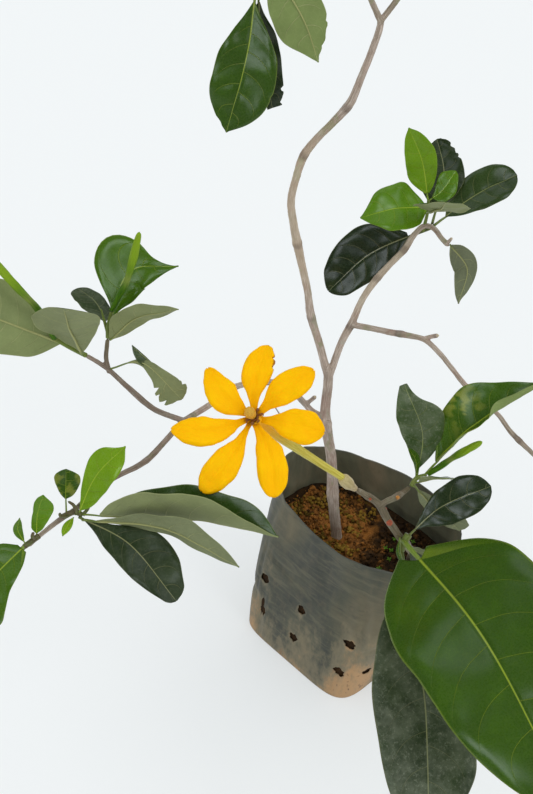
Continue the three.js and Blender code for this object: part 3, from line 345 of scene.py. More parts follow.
def three(a, b=0.0, c=0.0):
    """Three values for each point, from arrays or single numbers."""
    return np.stack(np.broadcast_arrays(a, b, c), -1)


def nearest_to(points, samples):
    """For each point, the number of the sample that it is nearest to."""
    tree = kdtree.KDTree(len(samples))
    for number, sample in enumerate(samples):
        tree.insert(sample, number)
    tree.balance()
    return np.array([tree.find(point)[1] for point in points])


def carried_frames(directions):
    """Two directions across a route at each point, carried along it without twist."""
    start = np.cross(directions[0], (0.0, 0.0, 1.0) if abs(directions[0][2]) < 0.9 else (1.0, 0.0, 0.0))
    across = [unit(start)]
    for d in directions[1:]:
        across.append(unit(across[-1] - np.dot(across[-1], d) * d))
    across = np.array(across)
    return across, np.cross(directions, across)


def grid_faces(rows, cols, wrap=False, flip=False):
    r, c = np.arange(rows - 1)[:, None], np.arange(cols if wrap else cols - 1)[None, :]
    a, b = r * cols + c, r * cols + (c + 1) % cols
    quads = np.stack([a, b, b + cols, a + cols], -1).reshape(-1, 4)
    return (quads[:, ::-1] if flip else quads).tolist()


def fan_faces(first, count, hub, flip=False):
    """Triangles from a ring of points to the point at its middle."""
    pairs = [(first + i, first + (i + 1) % count) for i in range(count)]
    return [[b, a, hub] if flip else [a, b, hub] for a, b in pairs]


class Shape:
    """Gathers points, faces, their material numbers and three values per point, and makes one mesh of them."""

    def __init__(self):
        self.points, self.faces, self.looks, self.place, self.tone, self.span = [], [], [], [], [], []
        self.count, self.stretch = 0, (0, 0, 0)

    def add(self, points, faces, look=0, place=(0, 0, 0), tone=(0, 0, 0)):
        points = np.asarray(points, float).reshape(-1, 3)
        self.points.append(points)
        self.faces.extend([[self.count + int(i) for i in face] for face in faces])
        looks = np.broadcast_to(np.asarray(look), (len(faces),))
        self.looks.extend(int(n) for n in looks)
        self.place.append(np.broadcast_to(np.asarray(place, float), points.shape))
        self.tone.append(np.broadcast_to(np.asarray(tone, float), points.shape))
        self.span.append(np.broadcast_to(np.asarray(self.stretch, float), points.shape))
        self.count += len(points)

    def tube(self, path, radius, sides=12, look=0, tone=(0, 0, 0), squash=1.0):
        """A closed tube; radius holds one number per ring or one per ring and side."""
        path = np.asarray(path, float)
        directions = unit(np.gradient(path, axis=0))
        across, up = carried_frames(directions)
        angle = ring_angles(sides)
        radius = np.asarray(radius, float)
        radius = radius[:, None] * np.ones(sides) if radius.ndim == 1 else radius
        offset = across[:, None] * np.cos(angle)[None, :, None] + up[:, None] * np.sin(angle)[None, :, None] * squash
        points = path[:, None] + offset * radius[..., None]
        run = np.concatenate([[0], np.cumsum(np.linalg.norm(np.diff(path, axis=0), axis=1))])
        mean = radius.mean(axis=1, keepdims=True)
        place = three(np.cos(angle) * mean, np.sin(angle) * mean, run[:, None])
        faces = grid_faces(len(path), sides, wrap=True)
        last = (len(path) - 1) * sides
        faces += [list(range(sides))[::-1], [last + i for i in range(sides)]]
        tone = np.asarray(tone, float)
        tone = np.repeat(tone, sides, axis=0) if tone.ndim == 2 else tone
        self.add(points, faces, look, place.reshape(-1, 3), tone)

    def make(self, name, materials, scale=MM):
        mesh = bpy.data.meshes.new(name)
        mesh.from_pydata((np.vstack(self.points) * scale).tolist(), [], self.faces)
        mesh.polygons.foreach_set("material_index", self.looks)
        mesh.polygons.foreach_set("use_smooth", [True] * len(self.faces))
        for key, values in (("place", self.place), ("tone", self.tone), ("span", self.span)):
            values = np.vstack(values).astype(np.float32)
            mesh.attributes.new(key, "FLOAT_VECTOR", "POINT").data.foreach_set("vector", values.ravel())
        for material in materials:
            mesh.materials.append(material)
        mesh.validate()
        mesh.update()
        piece = bpy.data.objects.new(name, mesh)
        bpy.context.scene.collection.objects.link(piece)
        return piece


def carry_values(piece, points, place, tone):
    """Gives each point of a re-cut mesh the values of the nearest point that it was made from."""
    nearest = nearest_to(vectors_of(piece.data, "co") / MM, points)
    for key, values in (("place", place), ("tone", tone)):
        keep_values(piece.data, key, values[nearest])


def keep_values(mesh, key, values):
    if key in mesh.attributes:
        mesh.attributes.remove(mesh.attributes[key])
    mesh.attributes.new(key, "FLOAT_VECTOR", "POINT").data.foreach_set("vector", values.astype(np.float32).ravel())


def settle(piece, *modifiers):
    """Adds the modifiers, given as (kind, settings), and keeps their result as the piece's own mesh."""
    for kind, values in modifiers:
        modifier = piece.modifiers.new(kind.title(), kind)
        for key, value in values.items():
            setattr(modifier, key, value)
    depsgraph = bpy.context.evaluated_depsgraph_get()
    mesh = bpy.data.meshes.new_from_object(piece.evaluated_get(depsgraph))
    piece.modifiers.clear()
    piece.data = mesh
    return piece


def vectors_of(mesh, key):
    values = np.empty(len(mesh.vertices) * 3)
    mesh.vertices.foreach_get(key, values)
    return values.reshape(-1, 3)


def place_on_frame(piece, nodes):
    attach(piece, BODY)
    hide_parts(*nodes)


def noise_at(points, scale, seed=0.0, octaves=3):
    """Smooth noise from about -1 to 1 at points in millimetres; scale is the size of its lumps."""
    shift = Vector((seed * 17.3, seed * 5.1, seed * 9.7))
    values = [noise.fractal(Vector(p) / scale + shift, 1.0, 2.0, octaves) for p in points.reshape(-1, 3)]
    return np.array(values).reshape(points.shape[:-1])


# ---- shader graphs


class Value:
    """A number or colour in a shader graph; plain signs add it up, take it away and multiply it."""

    def __init__(self, graph, socket):
        self.graph, self.socket = graph, socket

    def __add__(self, other):
        return self.graph.math("ADD", self, other)

    def __mul__(self, other):
        return self.graph.math("MULTIPLY", self, other)

    def __sub__(self, other):
        return self.graph.math("SUBTRACT", self, other)

    def __rsub__(self, other):
        return self.graph.math("SUBTRACT", other, self)

    __radd__, __rmul__ = __add__, __mul__


def srgb(red, green, blue):
    """A display colour, 0 to 255, as Blender's linear colour."""
    def linear(c):
        c /= 255
        return c / 12.92 if c <= 0.04045 else ((c + 0.055) / 1.055) ** 2.4
    return (linear(red), linear(green), linear(blue), 1.0)


class Graph:
    """Short ways to place and join the nodes of a material or a node group. Colours are display colours."""

    def __init__(self, tree):
        self.tree = tree

    def node(self, kind, inputs=None, **props):
        made = self.tree.nodes.new(kind)
        for key, value in props.items():
            setattr(made, key, value)
        for key, value in (inputs or {}).items():
            self.put(made.inputs[key], value)
        return made

    def put(self, socket, value):
        value = getattr(value, "socket", value)
        if isinstance(value, bpy.types.NodeSocket):
            self.tree.links.new(value, socket)
        elif value is not None:
            socket.default_value = srgb(*value) if socket.type == "RGBA" else value

    def outputs(self, made):
        return {socket.name: Value(self, socket) for socket in made.outputs}

    def math(self, operation, a, b=None, clamp=False):
        made = self.node("ShaderNodeMath", {0: a, 1: b}, operation=operation, use_clamp=clamp)
        return Value(self, made.outputs[0])

    def mix(self, share, a, b, blend="MIX"):
        made = self.node("ShaderNodeMix", data_type="RGBA", blend_type=blend)
        for number, value in ((0, share), (6, a), (7, b)):
            self.put(made.inputs[number], value)
        return Value(self, made.outputs[2])

    def ramp(self, value, *stops):
        """stops are (position, colour)."""
        made = self.node("ShaderNodeValToRGB", {0: value})
        elements = made.color_ramp.elements
        while len(elements) < len(stops):
            elements.new(0.5)
        for element, (position, colour) in zip(elements, stops):
            element.position, element.color = position, srgb(*colour)
        return Value(self, made.outputs[0])

    def band(self, value, low, high, out_low=0.0, out_high=1.0):
        """value from low to high, turned smoothly into out_low to out_high."""
        made = self.node("ShaderNodeMapRange", dict(enumerate((value, low, high, out_low, out_high))),
                         interpolation_type="SMOOTHSTEP")
        return Value(self, made.outputs[0])

    def grey(self, value):
        return self.node("ShaderNodeCombineColor", {0: value, 1: value, 2: value}).outputs[0]

    def value_of(self, name):
        return self.node("ShaderNodeAttribute", attribute_name=name).outputs["Vector"]

    def split(self, name):
        """The three values that each point keeps under a name."""
        made = self.node("ShaderNodeSeparateXYZ", {0: self.value_of(name)})
        return list(self.outputs(made).values())

    def stretched(self, vector, *scale):
        return self.node("ShaderNodeMapping", {"Vector": vector, "Scale": scale}).outputs[0]

    def position(self, *scale):
        """Where the point is, in metres, stretched by scale."""
        return self.stretched(self.node("ShaderNodeTexCoord").outputs["Object"], *(scale or (1, 1, 1)))

    def noise(self, vector, scale, detail=3.0, roughness=0.55, distortion=0.0):
        made = self.node("ShaderNodeTexNoise", {"Vector": vector, "Scale": scale, "Detail": detail,
                                                "Roughness": roughness, "Distortion": distortion})
        return self.outputs(made)["Fac"]

    def cells(self, vector, scale, feature="F1"):
        made = self.node("ShaderNodeTexVoronoi", {"Vector": vector, "Scale": scale}, feature=feature)
        return self.outputs(made)["Distance"]

    def use(self, group, **inputs):
        made = self.node("ShaderNodeGroup", node_tree=groups()[group])
        for key, value in inputs.items():
            self.put(made.inputs[key.replace("_", " ")], value)
        return self.outputs(made)


def node_group(name, inputs, build):
    """A shader node group; inputs gives each input's default, and build makes the outputs by name."""
    tree = bpy.data.node_groups.new(name, "ShaderNodeTree")
    for label, default in inputs.items():
        tree.interface.new_socket(name=label, in_out="INPUT", socket_type="NodeSocketFloat").default_value = default
    graph = Graph(tree)
    made = build(graph, graph.outputs(graph.node("NodeGroupInput")))
    for label in made:
        tree.interface.new_socket(name=label, in_out="OUTPUT", socket_type="NodeSocketFloat")
    graph.node("NodeGroupOutput", made)
    return tree


def leaf_veins(g, given):
    """Masks of a leaf's midrib, side veins, fine net and margin, from the blade's own lengths."""
    along, across, half = g.split("place")
    length, pairs, rib = g.split("span")
    side = g.math("ABSOLUTE", across)
    width = given["Midrib width"] * rib * (1.25 - along)
    lean = side * 0.06 + g.math("POWER", side, 3.0) * 0.15
    start = g.math("POWER", g.math("MAXIMUM", along - lean, 0.0), 0.85)
    gap = g.math("PINGPONG", start * pairs + g.math("GREATER_THAN", across, 0.0) * 0.4, 0.5)
    away = gap * g.math("DIVIDE", length, g.math("MAXIMUM", pairs, 1.0))
    veins = g.band(away, given["Vein width"] * 0.4, given["Vein width"], 1.0, 0.0)
    veins = veins * g.band(side, 0.6, 0.95, 1.0, 0.15)
    net = g.band(g.cells(g.position(), 330.0, "DISTANCE_TO_EDGE"), 0.0, 0.1, 1.0, 0.0)
    return {"Midrib": g.band(side * half, width * 0.4, width, 1.0, 0.0), "Side veins": veins, "Net": net,
            "Margin": g.band(side, 0.965, 0.99), "Relief": 1.0 - veins}


def mottle(g, given):
    """Soft uneven patches: a light and dark factor round 1, and a fine grain for relief."""
    patches = g.noise(g.position(), given["Patch size"], 4, 0.6)
    return {"Factor": 1.0 + (patches - 0.5) * given["Strength"], "Grain": g.noise(g.position(), 900, 3, 0.6)}


def lengthwise_grain(g, given):
    """Streaks that follow a stem, and short pores across it."""
    place = g.value_of("place")
    scale = g.node("ShaderNodeCombineXYZ", {0: 1.0, 1: 1.0, 2: given["Stretch"]}).outputs[0]
    streaks = g.node("ShaderNodeVectorMath", {0: place, 1: scale}, operation="MULTIPLY").outputs[0]
    return {"Streaks": g.noise(streaks, given["Fineness"], 4, 0.65),
            "Pores": g.band(g.cells(g.stretched(place, 0.75, 0.75, 0.28), 1.0), 0.08, 0.2, 1.0, 0.0)}


MADE = {}


def groups():
    if "groups" not in MADE:
        MADE["groups"] = {
            "veins": node_group("Leaf veins", {"Midrib width": 1.0, "Vein width": 0.3}, leaf_veins),
            "mottle": node_group("Mottle", {"Patch size": 60.0, "Strength": 0.3}, mottle),
            "grain": node_group("Lengthwise grain", {"Fineness": 1.6, "Stretch": 0.09}, lengthwise_grain)}
    return MADE["groups"]


def leaf_materials(sizes):
    if "leaf" not in MADE:
        MADE["leaf"] = [make(sizes) for make in (leaf_upper, leaf_under, leaf_stalk)]
    return MADE["leaf"]


class Finish:
    """A material being built: its graph, and its Principled shader with the plain numbers set on it."""

    def __init__(self, name, shown, **shader):
        self.material = bpy.data.materials.new(name)
        self.material.use_nodes = True
        self.material.diffuse_color = (*shown[:3], 1)
        self.graph = Graph(self.material.node_tree)
        self.shader = self.material.node_tree.nodes["Principled BSDF"]
        for key, value in shader.items():
            self.shader.inputs[key.replace("_", " ")].default_value = value

    def join(self, colour, roughness, height, relief):
        """relief is how many metres the height stands for."""
        bump = self.graph.node("ShaderNodeBump", {"Height": height, "Distance": relief, "Strength": 1.0})
        for key, value in (("Base Color", colour), ("Roughness", roughness), ("Normal", bump.outputs[0])):
            self.graph.put(self.shader.inputs[key], value)
        return self.material


def leaf_upper(sizes):
    f = Finish("leaf upper face", sizes.old_colour, IOR=1.45, Specular_IOR_Level=0.35)
    g = f.graph
    veins = g.use("veins", Midrib_width=0.9, Vein_width=0.3)
    patches = g.use("mottle", Patch_size=55.0, Strength=0.8)
    age, blotch, dust = g.split("tone")
    age = g.math("ADD", age, (patches["Factor"] - 1.0) * 0.3, clamp=True)
    flesh = g.ramp(age, (0.0, (28, 40, 20)), (0.2, (44, 62, 24)), (0.42, (50, 80, 10)), (0.7, (82, 122, 12)),
                   (1.0, (128, 166, 14)))
    rib = g.ramp(age, (0.0, (132, 130, 92)), (0.25, (136, 142, 84)), (0.42, (140, 158, 40)), (1.0, (170, 192, 62)))
    for mask, share in (("Side veins", 0.3), ("Net", 0.035), ("Margin", 0.3), ("Midrib", 0.9)):
        flesh = g.mix(veins[mask] * share, flesh, rib)
    flesh = g.mix(blotch * 0.8, flesh, (166, 166, 70))
    # Grey smears and specks: partly real dust, partly painted grey sheen on the dark leaves.
    specks = g.band(g.noise(g.position(), 520, 4, 0.8), 0.52, 0.68)
    smears = g.band(g.noise(g.position(), 70, 5, 0.7), 0.3, 0.75)
    flesh = g.mix(dust * (smears * 0.4 + specks * 0.35), flesh, (134, 140, 118))
    gloss = patches["Grain"] * 0.16 + 0.2 + dust * 0.2
    return f.join(flesh, gloss, veins["Relief"] + patches["Grain"] * 0.12, 0.00022 * sizes.vein_relief)


def leaf_under(sizes):
    f = Finish("leaf underside", sizes.under_colour, IOR=1.4, Specular_IOR_Level=0.35)
    g = f.graph
    veins = g.use("veins", Midrib_width=1.1, Vein_width=0.35)
    patches = g.use("mottle", Patch_size=50.0, Strength=0.55)
    flesh = g.ramp(g.split("tone")[0], (0.0, (96, 102, 76)), (0.12, (106, 112, 86)), (0.3, (126, 134, 88)),
                   (0.45, (118, 134, 76)), (1.0, (140, 162, 64)))
    flesh = g.mix(1.0, flesh, g.grey(patches["Factor"]), "MULTIPLY")
    for mask, share in (("Side veins", 0.38), ("Net", 0.08), ("Midrib", 0.85), ("Margin", 0.3)):
        flesh = g.mix(veins[mask] * share, flesh, (168, 172, 118))
    height = patches["Grain"] * 0.15 - veins["Relief"]
    return f.join(flesh, patches["Grain"] * 0.2 + 0.5, height, 0.0002 * sizes.vein_relief)


def leaf_stalk(sizes):
    f = Finish("leaf stalk and midrib", srgb(130, 144, 60), IOR=1.42)
    g = f.graph
    streaks = g.use("grain", Fineness=2.2, Stretch=0.08)["Streaks"]
    age, woody, pale = g.split("tone")
    green = g.ramp(age, (0.0, (78, 88, 46)), (0.2, (94, 110, 50)), (0.42, (104, 128, 36)), (1.0, (128, 160, 36)))
    colour = g.mix(g.band(streaks, 0.4, 0.75, 0.0, 0.5), green, (146, 154, 74))
    knots = g.band(g.noise(g.position(), 260, 3, 0.6), 0.42, 0.62)
    wood = g.mix(knots, g.ramp(streaks, (0.3, (54, 42, 30)), (0.7, (108, 90, 66))), (84, 90, 46))
    colour = g.mix(pale, g.mix(woody, colour, wood), (158, 158, 104))
    return f.join(colour, streaks * 0.2 + 0.38, streaks, 0.00012)


def bark(name, sizes):
    """Woody grey-brown bark; the values of tone are how green the shoot still is, how pale and how dark."""
    f = Finish(name, sizes.bark_colour, Specular_IOR_Level=0.3)
    g = f.graph
    grain = g.use("grain", Fineness=1.5, Stretch=0.07)
    patches = g.use("mottle", Patch_size=90.0, Strength=0.5)
    green, pale, dark = g.split("tone")
    wood = g.ramp(grain["Streaks"], (0.3, (136, 118, 104)), (0.5, (178, 160, 146)), (0.72, (212, 198, 186)))
    fresh = g.ramp(grain["Streaks"], (0.3, (72, 74, 42)), (0.5, (100, 96, 62)), (0.72, (134, 124, 90)))
    ruddy = g.band(g.noise(g.position(1, 1, 0.5), 60, 3, 0.6), 0.5, 0.66)
    colour = g.mix(ruddy * (0.4 - green * 0.4), g.mix(green, wood, fresh), (140, 98, 86))
    lichen = g.band(g.noise(g.position(1, 1, 0.55), 110, 4, 0.65, 0.4), 0.53, 0.62)
    spots = g.mix(g.band(g.noise(g.position(), 34, 2), 0.4, 0.6), (178, 172, 158), (132, 138, 96))
    colour = g.mix(lichen * (0.6 - green * 0.35), colour, spots)
    colour = g.mix(grain["Pores"] * 0.3, colour, (176, 160, 136))
    colour = g.mix(1.0, colour, g.grey(patches["Factor"]), "MULTIPLY")
    colour = g.mix(dark, g.mix(pale, colour, (206, 190, 158)), (52, 34, 26))
    return f.join(colour, patches["Grain"] * 0.25 + 0.62, grain["Streaks"] + grain["Pores"] * 0.35, 0.0005)


def petal(sizes):
    f = Finish("golden petal", sizes.petal_colour, Subsurface_Weight=0.2, Subsurface_Scale=0.002,
               Subsurface_Radius=(1.0, 0.45, 0.1), IOR=1.38, Specular_IOR_Level=0.08)
    g = f.graph
    patches = g.use("mottle", Patch_size=120.0, Strength=0.3)
    edge, brown, _ = g.split("tone")
    streak = g.noise(g.stretched(g.value_of("place"), 2.0, 9.0, 0.0), 1.5, 3)
    colour = g.ramp(g.split("place")[0], (0.0, (244, 160, 0)), (0.15, (253, 182, 0)), (0.6, (255, 196, 0)),
                    (1.0, (254, 188, 0)))
    # The brown tone covers the first lobe's dried edge and painted shade at the foot of every lobe.
    for share, tint in ((g.band(streak, 0.3, 0.75, 0.0, 0.3), (248, 176, 0)),
                        (g.band(patches["Factor"], 0.92, 1.06, 0.35, 0.0), (250, 174, 0)),
                        (edge * 0.3, (240, 160, 2)), (brown, (118, 66, 22))):
        colour = g.mix(share, colour, tint)
    return f.join(colour, patches["Grain"] * 0.2 + 0.42, streak + patches["Grain"] * 0.3, 0.0003)


def striped(name, dark, light, tip, relief=0.0003, **shader):
    """Plant skin with lengthwise stripes, from one colour at the foot to another at the end of the piece."""
    f = Finish(name, srgb(*light), **shader)
    g = f.graph
    streaks = g.use("grain", Fineness=1.9, Stretch=0.05)["Streaks"]
    rough = g.use("mottle", Patch_size=140.0, Strength=0.3)["Grain"] * 0.2 + 0.4
    reach, pale, _ = g.split("tone")
    colour = g.mix(reach, g.mix(g.band(streaks, 0.3, 0.7), dark, light), tip)
    return f.join(g.mix(pale, colour, (214, 206, 120)), rough, streaks, relief)


def film(name, sizes, inside=False):
    """Weathered black polythene; the values of tone are tan stain, wear and how near the lip is."""
    f = Finish(name, sizes.film_colour, IOR=1.5, Specular_IOR_Level=0.4)
    g = f.graph
    stain, worn, edge = g.split("tone")
    grain = g.use("mottle", Patch_size=26.0, Strength=1.0)["Grain"]
    patches = g.noise(g.position(1, 1, 0.7), 15, 5, 0.6, 0.4)
    scuffs = g.noise(g.position(0.35, 0.35, 2.2), 75, 5, 0.7, 0.8)
    fine = g.noise(g.position(1, 1, 0.5), 190, 4, 0.65, 0.3)
    if inside:
        base = g.ramp(patches, (0.34, (72, 72, 60)), (0.5, (104, 104, 84)), (0.68, (136, 124, 100)))
    else:
        base = g.ramp(patches, (0.36, (50, 54, 47)), (0.5, (75, 76, 61)), (0.64, (102, 95, 74)))
        base = g.mix(g.band(scuffs, 0.45, 0.68, 0.0, 0.42), base, (114, 109, 86))
        base = g.mix(g.band(scuffs, 0.3, 0.45, 0.45, 0.0), base, (46, 48, 43))
    broken = stain + (patches - 0.5) * 1.4 + (fine - 0.5) * 0.9
    colour = base
    for share, tint in ((g.band(fine, 0.45, 0.7, 0.0, 0.3), (98, 88, 68)),
                        (g.band(broken, 0.2, 0.62, 0.0, 0.8), (124, 114, 90)),
                        (g.band(broken, 0.55, 1.0, 0.0, 0.9), (178, 140, 98)),
                        (g.band(fine, 0.6, 0.7) * g.band(stain, 0.4, 0.9, 0.0, 0.75), (66, 46, 32)),
                        (worn * 0.4, (126, 122, 106)), (edge, (84, 86, 78))):
        colour = g.mix(share, colour, tint)
    crumple = g.cells(g.position(1, 1, 0.6), 58.0, "SMOOTH_F1")
    height = crumple + scuffs * 0.25 + grain * 0.08
    return f.join(colour, g.band(patches, 0.35, 0.7, 0.42, 0.6) + grain * 0.16, height, 0.0009)


def earth(name, dark, middle, light, relief=0.0012):
    f = Finish(name, srgb(*middle), Specular_IOR_Level=0.2)
    g = f.graph
    grain = g.use("mottle", Patch_size=120.0, Strength=0.6)["Grain"]
    clods = g.noise(g.position(), 240, 5, 0.7)
    colour = g.ramp(clods * 0.7 + g.split("tone")[0] * 0.5, (0.2, dark), (0.5, middle), (0.85, light))
    return f.join(colour, grain * 0.15 + 0.82, clods + grain * 0.4, relief)


# ---- stems


def limb_path(entry, step):
    length = route_points(entry["route"], [0, 1])[2]
    shares = np.linspace(0, 1, max(4, math.ceil(length / step)) + 1)
    return route_points(entry["route"], shares)[0], shares, length


def limb_radius(entry, shares, length):
    """The radius along a limb, with the swelling at each knot that the solids have."""
    radius = np.interp(shares, np.linspace(0, 1, len(entry["radii"])), entry["radii"])
    steps = max(2, math.ceil(length / 15))
    swell = 1 + sum(0.16 * np.exp(-(((shares - k) * steps * 1.4) ** 2)) for k in entry["knots"])
    return radius * swell * 0.93


def add_limb(shape, entry, rng, step=2.0, sides=16, rough=0.05, look=0, tone=(0, 0, 0)):
    """A stem with ring scars and paired leaf scars at its knots, and a rounded end."""
    path, shares, length = limb_path(entry, step)
    radius = limb_radius(entry, shares, length)
    angle = ring_angles(sides)
    along = shares * length
    grid = radius[:, None] * np.ones(sides)
    waves = [(rng.integers(2, 5), rng.uniform(12, 34), rng.uniform(0, 6.28)) for _ in range(4)]
    for count, pitch, phase in waves:
        grid *= 1 + rough * 0.5 * np.sin(count * angle[None, :] + along[:, None] / pitch + phase)
    for n, knot in enumerate(entry["knots"]):
        away = along - knot * length
        grid += 0.16 * np.exp(-((away / 0.9) ** 2))[:, None]
        for side in (0, math.pi):
            turn = np.angle(np.exp(1j * (angle - side - n * math.pi / 2 - 0.4)))
            grid += 0.5 * np.exp(-(((away - 1.5) / 1.5) ** 2))[:, None] * np.exp(-((turn / 0.5) ** 2))[None, :]
    end = np.clip((length - along) / max(radius[-1] * 0.8, 0.5), 0, 1)
    grid *= np.sqrt(np.clip(1 - (1 - end) ** 2, 0.03, 1))[:, None]
    shape.tube(path, grid, sides, look, tone)


def blended_stems(name, limbs, materials, greenness, pale_ends, marks, sizes, seed):
    """Stems joined into one skin, with each point's place along its own stem kept for the grain."""
    rng = np.random.default_rng(seed)
    shape = Shape()
    for entry in limbs.values():
        add_limb(shape, entry, rng, rough=sizes.roughness)
    piece = shape.make(name, materials)
    settle(piece, ("REMESH", {"mode": "VOXEL", "voxel_size": sizes.skin_step}),
           ("SMOOTH", {"factor": 0.5, "iterations": 2}))
    mesh = piece.data
    where = vectors_of(mesh, "co") / MM
    parts = []
    for key, entry in limbs.items():
        path, shares, length = limb_path(entry, 1.5)
        directions = unit(np.gradient(path, axis=0))
        low, high = greenness.get(key, (0.0, 0.0))
        parts.append((path, directions, carried_frames(directions)[0], shares * length + 97.0 * len(parts),
                      limb_radius(entry, shares, length), low + (high - low) * shares))
    samples, ways, across, runs, radii, greens = (np.concatenate(part) for part in zip(*parts))
    nearest = nearest_to(where, samples)
    offset = where - samples[nearest]
    side = across[nearest]
    up = np.cross(ways[nearest], side)
    angle = np.arctan2((offset * up).sum(1), (offset * side).sum(1))
    run = runs[nearest] + (offset * ways[nearest]).sum(1)
    r = radii[nearest]
    streaks = (np.sin(7 * angle + run / 19) + 0.7 * np.sin(11 * angle - run / 13 + 2)
               + 0.5 * np.sin(17 * angle + run / 9 + 1))
    lumps = noise_at(where, 4.5, seed)
    lift = (0.028 * streaks * np.minimum(1, r / 3) + 0.12 * lumps) * sizes.roughness / 0.05
    place = three(np.cos(angle) * r, np.sin(angle) * r, run)
    tone = np.zeros_like(place)
    tone[:, 0] = np.clip(greens[nearest] + 0.15 * noise_at(where, 18, seed + 3), 0, 1)
    for column, spots, core in ((1, pale_ends, 0.5), (2, marks, 0.4)):
        for point, reach, strength in spots:
            spot = strength * smooth(np.linalg.norm(where - point, axis=1), reach, reach * core)
            tone[:, column] = np.maximum(tone[:, column], spot)
    for entry in limbs.values():
        for knot in entry["knots"]:
            centre = route_points(entry["route"], [knot])[0][0]
            near = np.linalg.norm(where - centre, axis=1)
            tone[:, 2] = np.maximum(tone[:, 2], 0.4 * np.exp(-(((near - 2.6) / 1.1) ** 2)))
    moved = (where + vectors_of(mesh, "normal") * lift[:, None]) * MM
    mesh.vertices.foreach_set("co", moved.ravel())
    for key, values in (("place", place), ("tone", tone)):
        keep_values(mesh, key, values)
    mesh.polygons.foreach_set("use_smooth", [True] * len(mesh.polygons))
    mesh.update()
    return piece


# ---- leaves


def smooth_through(values, shares):
    """A smooth curve through evenly spaced values, read at shares from 0 to 1."""
    v = np.asarray(values, float)
    v = np.concatenate([[2 * v[0] - v[1]], v, [2 * v[-1] - v[-2]]])
    x = np.clip(shares, 0, 1) * (len(values) - 1)
    i = np.minimum(x.astype(int), len(values) - 2)
    t, a, b, c, d = x - i, v[i], v[i + 1], v[i + 2], v[i + 3]
    return 0.5 * (2 * b + (c - a) * t + (2 * a - 5 * b + 4 * c - d) * t**2 + (3 * b - a - 3 * c + d) * t**3)


def half_widths(entry, key, u):
    """A blade's half width on one side along its length."""
    if key not in entry:
        body = np.sin(math.pi * u ** (math.log(0.5) / math.log(0.54))).clip(0) ** 0.78
        return np.maximum(entry["width"] / 2 * body * (1 - 0.3 * np.exp(-(((1 - u) / 0.07) ** 2))), 0.35)
    half = smooth_through(entry[key], u)
    rounded = entry.get("rounded", 0.0)
    if rounded:
        half = half * np.sqrt(np.clip(1 - np.clip((u - 1 + rounded) / rounded, 0, 1) ** 2, 0, 1))
    return np.maximum(half, 0.35)


def blade_lattice(entry, rows, cols):
    """Points of a blade's middle surface, with each point's share along and across, and its half width."""
    stalk = entry.get("stalk", 0.12)
    u = np.linspace(0, 1, rows)
    u = 0.8 * u + 0.2 * (0.5 - 0.5 * np.cos(math.pi * u))
    spine, direction, length = route_points(entry["route"], stalk + (1 - stalk) * u)
    face = np.asarray(entry["face"], float)
    facing = unit(face - (direction @ face)[:, None] * direction)
    spine = spine - facing * (entry.get("curl", 0.0) * np.clip((u - 0.75) / 0.25, 0, 1) ** 2)[:, None]
    side_way = np.cross(direction, facing)
    s = np.sort(np.concatenate([np.linspace(-1, 1, cols), [-0.965, 0.965]]))
    half = np.where(s[None, :] < 0, half_widths(entry, "left", u)[:, None], half_widths(entry, "right", u)[:, None])
    for side, low, high, depth in entry.get("torn", ()):
        window = smooth(u, low, low + 0.03) * (1 - smooth(u, high - 0.03, high))
        bite = depth * np.clip(0.35 + np.sin(61 * u) + 0.6 * np.sin(97 * u + 1), 0, 1.4) * window
        half = np.maximum(half - bite[:, None] * (s * side > 0)[None, :], 0.3)
    out = np.abs(s)[None, :] * half
    lift = entry.get("fold", 0.1) * half * np.abs(s)[None, :] ** 1.3
    lift = lift - entry.get("roll", 0.05) * half * (np.clip((np.abs(s) - 0.75) / 0.25, 0, 1) ** 2)[None, :]
    if "cuff" in entry:
        side, start, turn, low, high = entry["cuff"]
        amount = turn * smooth(u, low, low + 0.15) * (1 - smooth(u, high - 0.15, high))
        bend = np.where(np.abs(amount) < 1e-3, 1e-3, amount)[:, None] / ((1 - start) * half)
        past = np.maximum(np.abs(s)[None, :] - start, 0) * half
        first = math.atan(1.3 * entry.get("fold", 0.1) * start**0.3)
        x = start * half + (np.sin(first + bend * past) - math.sin(first)) / bend
        z = entry.get("fold", 0.1) * half * start**1.3 + (math.cos(first) - np.cos(first + bend * past)) / bend
        turned = (s[None, :] * side > start) & (np.abs(amount)[:, None] > 0.02)
        out, lift = np.where(turned, x, out), np.where(turned, z, lift)
    wave = entry.get("wave", 0.0) * np.sin(19 * u[:, None] + 2.1 * s[None, :]) * (s**2)[None, :]
    lift = lift + wave * np.minimum(1, 4 * u)[:, None] * np.minimum(1, half / 8)
    points = (spine[:, None] + side_way[:, None] * (out * np.sign(s)[None, :])[..., None]
              + facing[:, None] * lift[..., None])
    back = np.where(s < 0, *entry.get("sweep", (0, 0)))[None, :] * np.abs(s)[None, :] ** 1.5
    points = points - direction[:, None] * (back * (1 - smooth(u, 0.0, 0.4))[:, None])[..., None]
    return points, u, s, half, length * (1 - stalk)


def lattice_normals(points, facing):
    """Unit normals of a lattice, on the side that facing looks to in its middle."""
    normal = unit(np.cross(np.gradient(points, axis=1), np.gradient(points, axis=0)))
    middle = normal[:, normal.shape[1] // 2]
    return -normal if np.mean(middle @ facing) < 0 else normal


